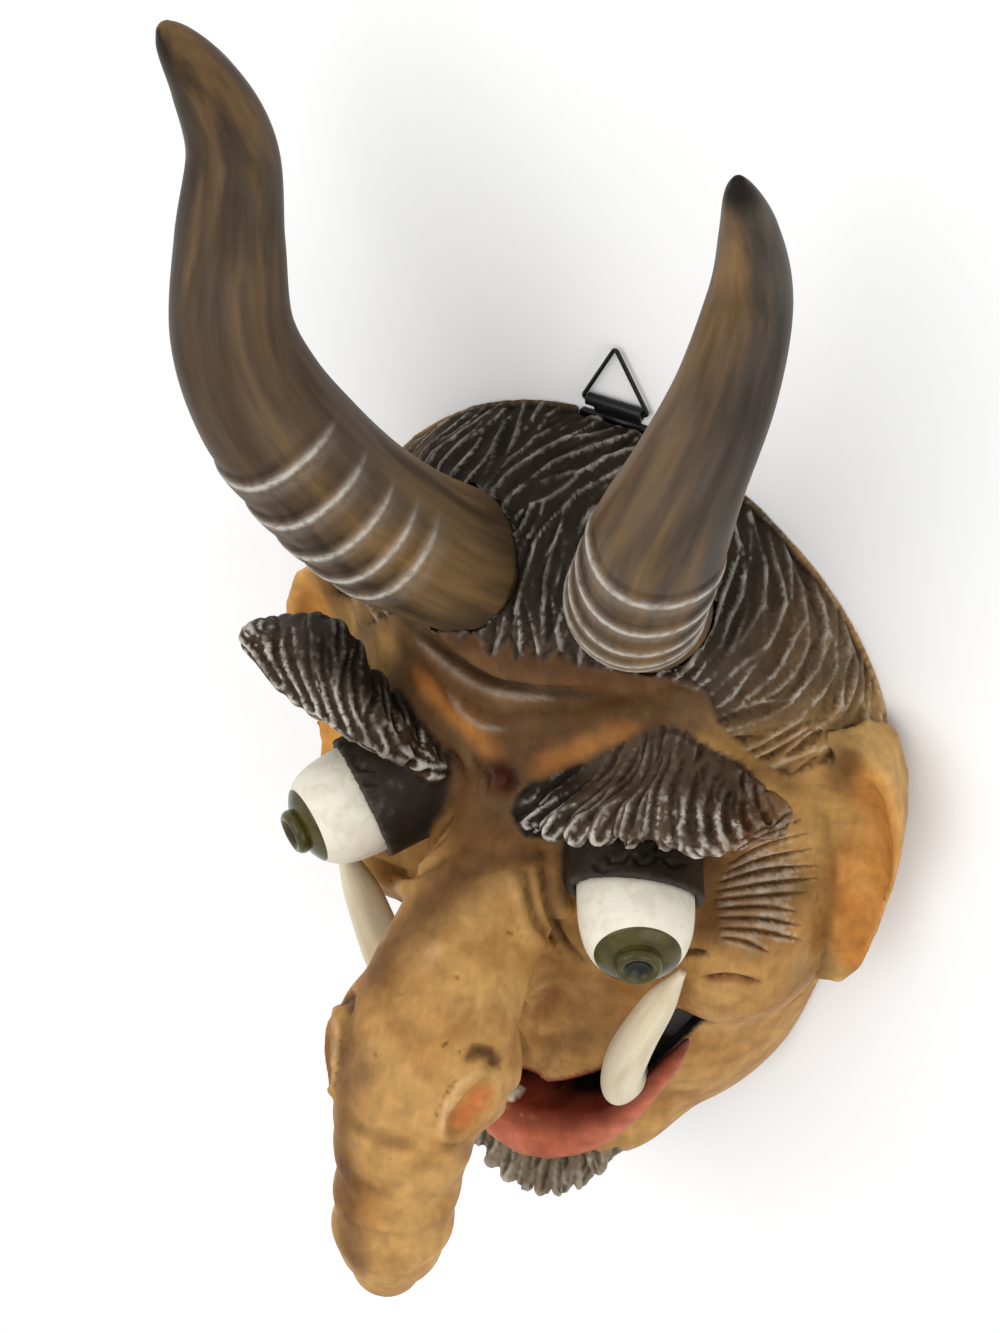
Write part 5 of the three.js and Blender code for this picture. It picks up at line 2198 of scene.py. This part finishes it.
@dataclass
class Hanger:
    """The steel hanger on the back: a plate with a rolled knuckle, two screws and a loose wire ring."""

    width: float = 26.0
    height: float = 12.0
    thickness: float = 1.2
    plate_y: float = 85.5
    plate_z: float = 0.2
    knuckle_y: float = 96.5
    knuckle_z: float = 2.2
    knuckle_length: float = 19.0
    knuckle_outer: float = 2.0
    knuckle_inner: float = 1.15
    roll_turn: float = 5.6
    tongue: float = 15.0
    tongue_root: float = 5.5
    tongue_thickness: float = 0.85
    screw_spacing: float = 15.0
    screw_head: float = 3.0
    screw_neck: Rows = ((0.02, 0.7), (2.5, 0.7), (1.4, 1.8))
    screw_shank: Rows = ((1.4, 9.0), (0.1, 10.4))
    slot_arm: float = 0.42
    slot_reach: float = 1.75
    corner: float = 1.4
    wire: float = 0.7
    ring_height: float = 21.0
    ring_half_base: float = 11.5
    bend: float = 2.0

    def plate(self) -> Piece:
        """The plate, with its tongue rolled round the wire.

        Returns:
            The piece, without its lacquer.
        """
        half, low, high = self.width / 2, self.plate_y - self.height / 2, self.plate_y + self.height / 2
        outline = []
        for cx, cy, start in ((half, high, 0), (-half, high, 1), (-half, low, 2), (half, low, 3)):
            x = cx - math.copysign(self.corner, cx)
            y = cy - math.copysign(self.corner, cy - self.plate_y)
            for k in range(6):
                a = (start + k / 5) * math.pi / 2
                outline.append((x + self.corner * math.cos(a), y + self.corner * math.sin(a)))
        holes = [circle(side * self.screw_spacing / 2, self.plate_y, self.screw_head + 0.12, 40) for side in SIDES]
        flat = drilled(outline, holes, self.plate_z, self.plate_z + self.thickness)
        return build_mesh("hanger_plate_steel", *joined(flat, self._roll()))

    def _roll(self) -> Skin:
        """The tongue and the knuckle, as one bent strip.

        Returns:
            The points and the faces.
        """
        outer, inner, half = self.knuckle_outer, self.knuckle_inner, self.knuckle_length / 2
        there, back = np.linspace(0, self.roll_turn, 40), np.linspace(self.roll_turn, 0, 40)
        steps = [(outer, a) for a in there] + [(inner, a) for a in back]
        bend = [(self.knuckle_y + r * math.sin(a), self.knuckle_z - r * math.cos(a)) for r, a in steps]
        root = self.plate_y + self.tongue_root
        section = [(root, self.plate_z), *bend, (root, self.plate_z + self.tongue_thickness)]
        limit = self.tongue / 2
        rows = np.array([
            (np.clip(x, -limit, limit) if y < self.knuckle_y - outer else x, y, z)
            for x in (-half, -half + 0.15, half - 0.15, half) for y, z in section
        ])
        count = len(section)
        faces = bands(4, count)
        for start in (0, 3 * count):
            for k in range(count // 2 - 1):
                face = [start + k, start + k + 1, start + count - 2 - k, start + count - 1 - k]
                faces.append(face if start == 0 else face[::-1])
        return rows, faces

    def screw(self, side: int) -> Piece:
        """A countersunk screw with a cross in its head.

        Args:
            side: The side that it stands on.

        Returns:
            The piece, without its lacquer.
        """
        x, y, z = side * self.screw_spacing / 2, self.plate_y, self.plate_z - 0.04
        arm, reach = self.slot_arm, self.slot_reach
        quarter, ways = ((reach, -arm), (reach, arm), (arm, arm)), ((1, 0), (0, 1), (-1, 0), (0, -1))
        cross = [(x + px * c - py * s, y + px * s + py * c) for c, s in ways for px, py in quarter]
        head = drilled(circle(x, y, self.screw_head, 40), [cross], z, z + 0.75)
        profile = np.array([*((radius, z + height) for radius, height in self.screw_neck), *self.screw_shank])
        shank = loft(lathe(profile, np.array((x, y, 0.0)), (0, 0, 1), 32))
        return build_mesh(f"hanger_screw_{side_name(side)}_steel", *joined(head, shank))

    def ring(self) -> Piece:
        """The wire triangle that hooks over a nail.

        Returns:
            The piece, without its lacquer.
        """
        corners = np.array(((-self.ring_half_base, 0), (self.ring_half_base, 0), (0, self.ring_height)), float)
        path = []
        for i, corner in enumerate(corners):
            following = corners[(i + 1) % 3]
            before = corner + self.bend * unit(corners[i - 1] - corner)
            after = corner + self.bend * unit(following - corner)
            for t in np.linspace(0, 1, 10):
                path.append((1 - t) ** 2 * before + 2 * t * (1 - t) * corner + t * t * after)
            far = following + self.bend * unit(corner - following)
            path.extend(after + (far - after) * t for t in np.linspace(0, 1, 8)[1:-1])
        line = np.array([(x, self.knuckle_y + y, self.knuckle_z) for x, y in path])
        ahead = unit(np.roll(line, -1, axis=0) - np.roll(line, 1, axis=0))
        out = np.cross(ahead, (0, 0, 1))
        angle = turns(16)[None, :, None]
        around = np.cos(angle) * out[:, None] + np.sin(angle) * np.array((0, 0, 1.0))
        points, faces = loft(line[:, None] + self.wire * around, hoop=True)
        return build_mesh("hanger_ring_steel", points, faces)


def circle(x: float, y: float, radius: float, sides: int) -> list[Spot]:
    """The points of a circle in plan."""
    return [(x + radius * math.cos(a), y + radius * math.sin(a)) for a in turns(sides)]


def drilled(outline: Sequence[Spot], holes: Sequence[Sequence[Spot]], low: float, high: float) -> Skin:
    """A flat plate with holes through it.

    Args:
        outline: Its outline in plan.
        holes: The outline of each hole.
        low: The height of its lower face.
        high: The height of its upper face.

    Returns:
        The points and the faces.
    """
    loops = [list(outline), *[list(hole) for hole in holes]]
    flat = [point for loop in loops for point in loop]
    tris = tessellate_polygon([[Vector((x, y, 0)) for x, y in loop] for loop in loops])
    count = len(flat)
    points = np.array([(x, y, z) for z in (low, high) for x, y in flat])
    faces = []
    for a, b, c in tris:
        (ax, ay), (bx, by), (cx, cy) = flat[a], flat[b], flat[c]
        if (bx - ax) * (cy - ay) - (by - ay) * (cx - ax) < 0:
            b, c = c, b
        faces += [[a, c, b], [a + count, b + count, c + count]]
    start = 0
    for n, loop in enumerate(loops):
        for k in range(len(loop)):
            a, b = start + k, start + (k + 1) % len(loop)
            faces.append([a, b, b + count, a + count] if n == 0 else [b, a, a + count, b + count])
        start += len(loop)
    return points, faces


@dataclass
class Studio:
    """The pale floor, the soft lights and the camera."""

    lens: float = 87.772
    key_power: float = 14.0
    fill_power: float = 5.0
    sky: float = 0.88

    def build(self) -> None:
        """Sets the studio up around the mask."""
        scene = bpy.context.scene
        scene.view_settings.view_transform = "Standard"
        bpy.ops.mesh.primitive_plane_add(size=6.0, location=(0, 0, 0))
        floor = bpy.context.object
        floor.name = "floor"
        pale = bpy.data.materials.new("pale_floor")
        pale.use_nodes = True
        shader = pale.node_tree.nodes["Principled BSDF"]
        shader.inputs["Base Color"].default_value = (0.9, 0.9, 0.9, 1)
        shader.inputs["Roughness"].default_value = 0.7
        floor.data.materials.append(pale)
        world = bpy.data.worlds.new("soft_room")
        world.use_nodes = True
        sky = world.node_tree.nodes["Background"]
        sky.inputs["Color"].default_value = (1.0, 1.0, 1.0, 1)
        sky.inputs["Strength"].default_value = self.sky
        scene.world = world
        self._lamp("key", (-0.45, 0.8, 1.6), 1.8, self.key_power)
        self._lamp("fill", (1.3, 0.1, 1.0), 1.2, self.fill_power)
        camera = bpy.data.cameras.new("camera")
        camera.sensor_fit = "VERTICAL"
        camera.sensor_height = Sight.SENSOR
        camera.sensor_width = Sight.SENSOR
        camera.lens = self.lens
        camera.clip_start = 0.05
        eye = bpy.data.objects.new("camera", camera)
        scene.collection.objects.link(eye)
        axes = Matrix((Sight.RIGHT, Sight.UP, Sight.BACK)).transposed().to_4x4()
        eye.matrix_world = Matrix.Translation(Vector(Sight.PLACE * MM + shift())) @ axes
        scene.camera = eye

    def _lamp(self, name: str, place: Point, size: float, power: float) -> None:
        """Hangs a broad lamp that looks at the mask.

        Args:
            name: The lamp's name.
            place: Where it hangs, in metres.
            size: Its width in metres.
            power: Its power in watts.
        """
        lamp = bpy.data.lights.new(name, "AREA")
        lamp.shape, lamp.size, lamp.energy = "DISK", size, power
        holder = bpy.data.objects.new(name, lamp)
        holder.location = place
        holder.rotation_euler = (Vector((0, 0, 0.05)) - Vector(place)).to_track_quat("-Z", "Y").to_euler()
        bpy.context.scene.collection.objects.link(holder)


def settle_in(piece: Piece, body: str, node: str) -> None:
    """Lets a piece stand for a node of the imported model.

    Args:
        piece: The finished piece.
        body: The body that it moves with.
        node: The node that it stands for.
    """
    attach(piece, body)
    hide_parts(node)
    LOG.info("%s stands for %s on body %s, %d faces", piece.name, node, body, len(piece.data.polygons))


def main() -> None:
    """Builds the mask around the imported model."""
    logging.basicConfig(level=logging.INFO, format="%(relativeCreated)8d %(message)s")
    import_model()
    Studio().build()
    horns = [Horn(-1), Horn(1, RIGHT_HORN, tip_black=1.0)]
    tusks = [Tusk(side) for side in SIDES]
    eyes = [Eye(-1, length=26.2, iris=12.4), Eye(1)]
    head = HeadBlock().build([part.socket() for part in (*horns, *tusks)])
    settle_in(head, "mask", "mask_head")
    stain, white, gloss, steel = HornStain().make(), EyePaint().make(), IrisGloss().make(), BlackSteel().make()
    hanger = Hanger()
    for side, horn, tusk, eye in zip(SIDES, horns, tusks, eyes):
        word = side_name(side)
        made = horn.build()
        made.data.materials.append(stain)
        settle_in(made, "mask", f"horn_{word}")
        settle_in(eye.build(white, gloss), "mask", f"eye_{word}")
        settle_in(tusk.build(), "mask", f"tusk_{word}")
        screw = hanger.screw(side)
        screw.data.materials.append(steel)
        settle_in(screw, "mask", f"hanger_screw_{word}")
    steelwork = ((hanger.plate(), "mask", "hanger_plate"), (hanger.ring(), "ring", "hanger_ring"))
    for piece, body, node in steelwork:
        piece.data.materials.append(steel)
        settle_in(piece, body, node)


if __name__ == "__main__":
    main()
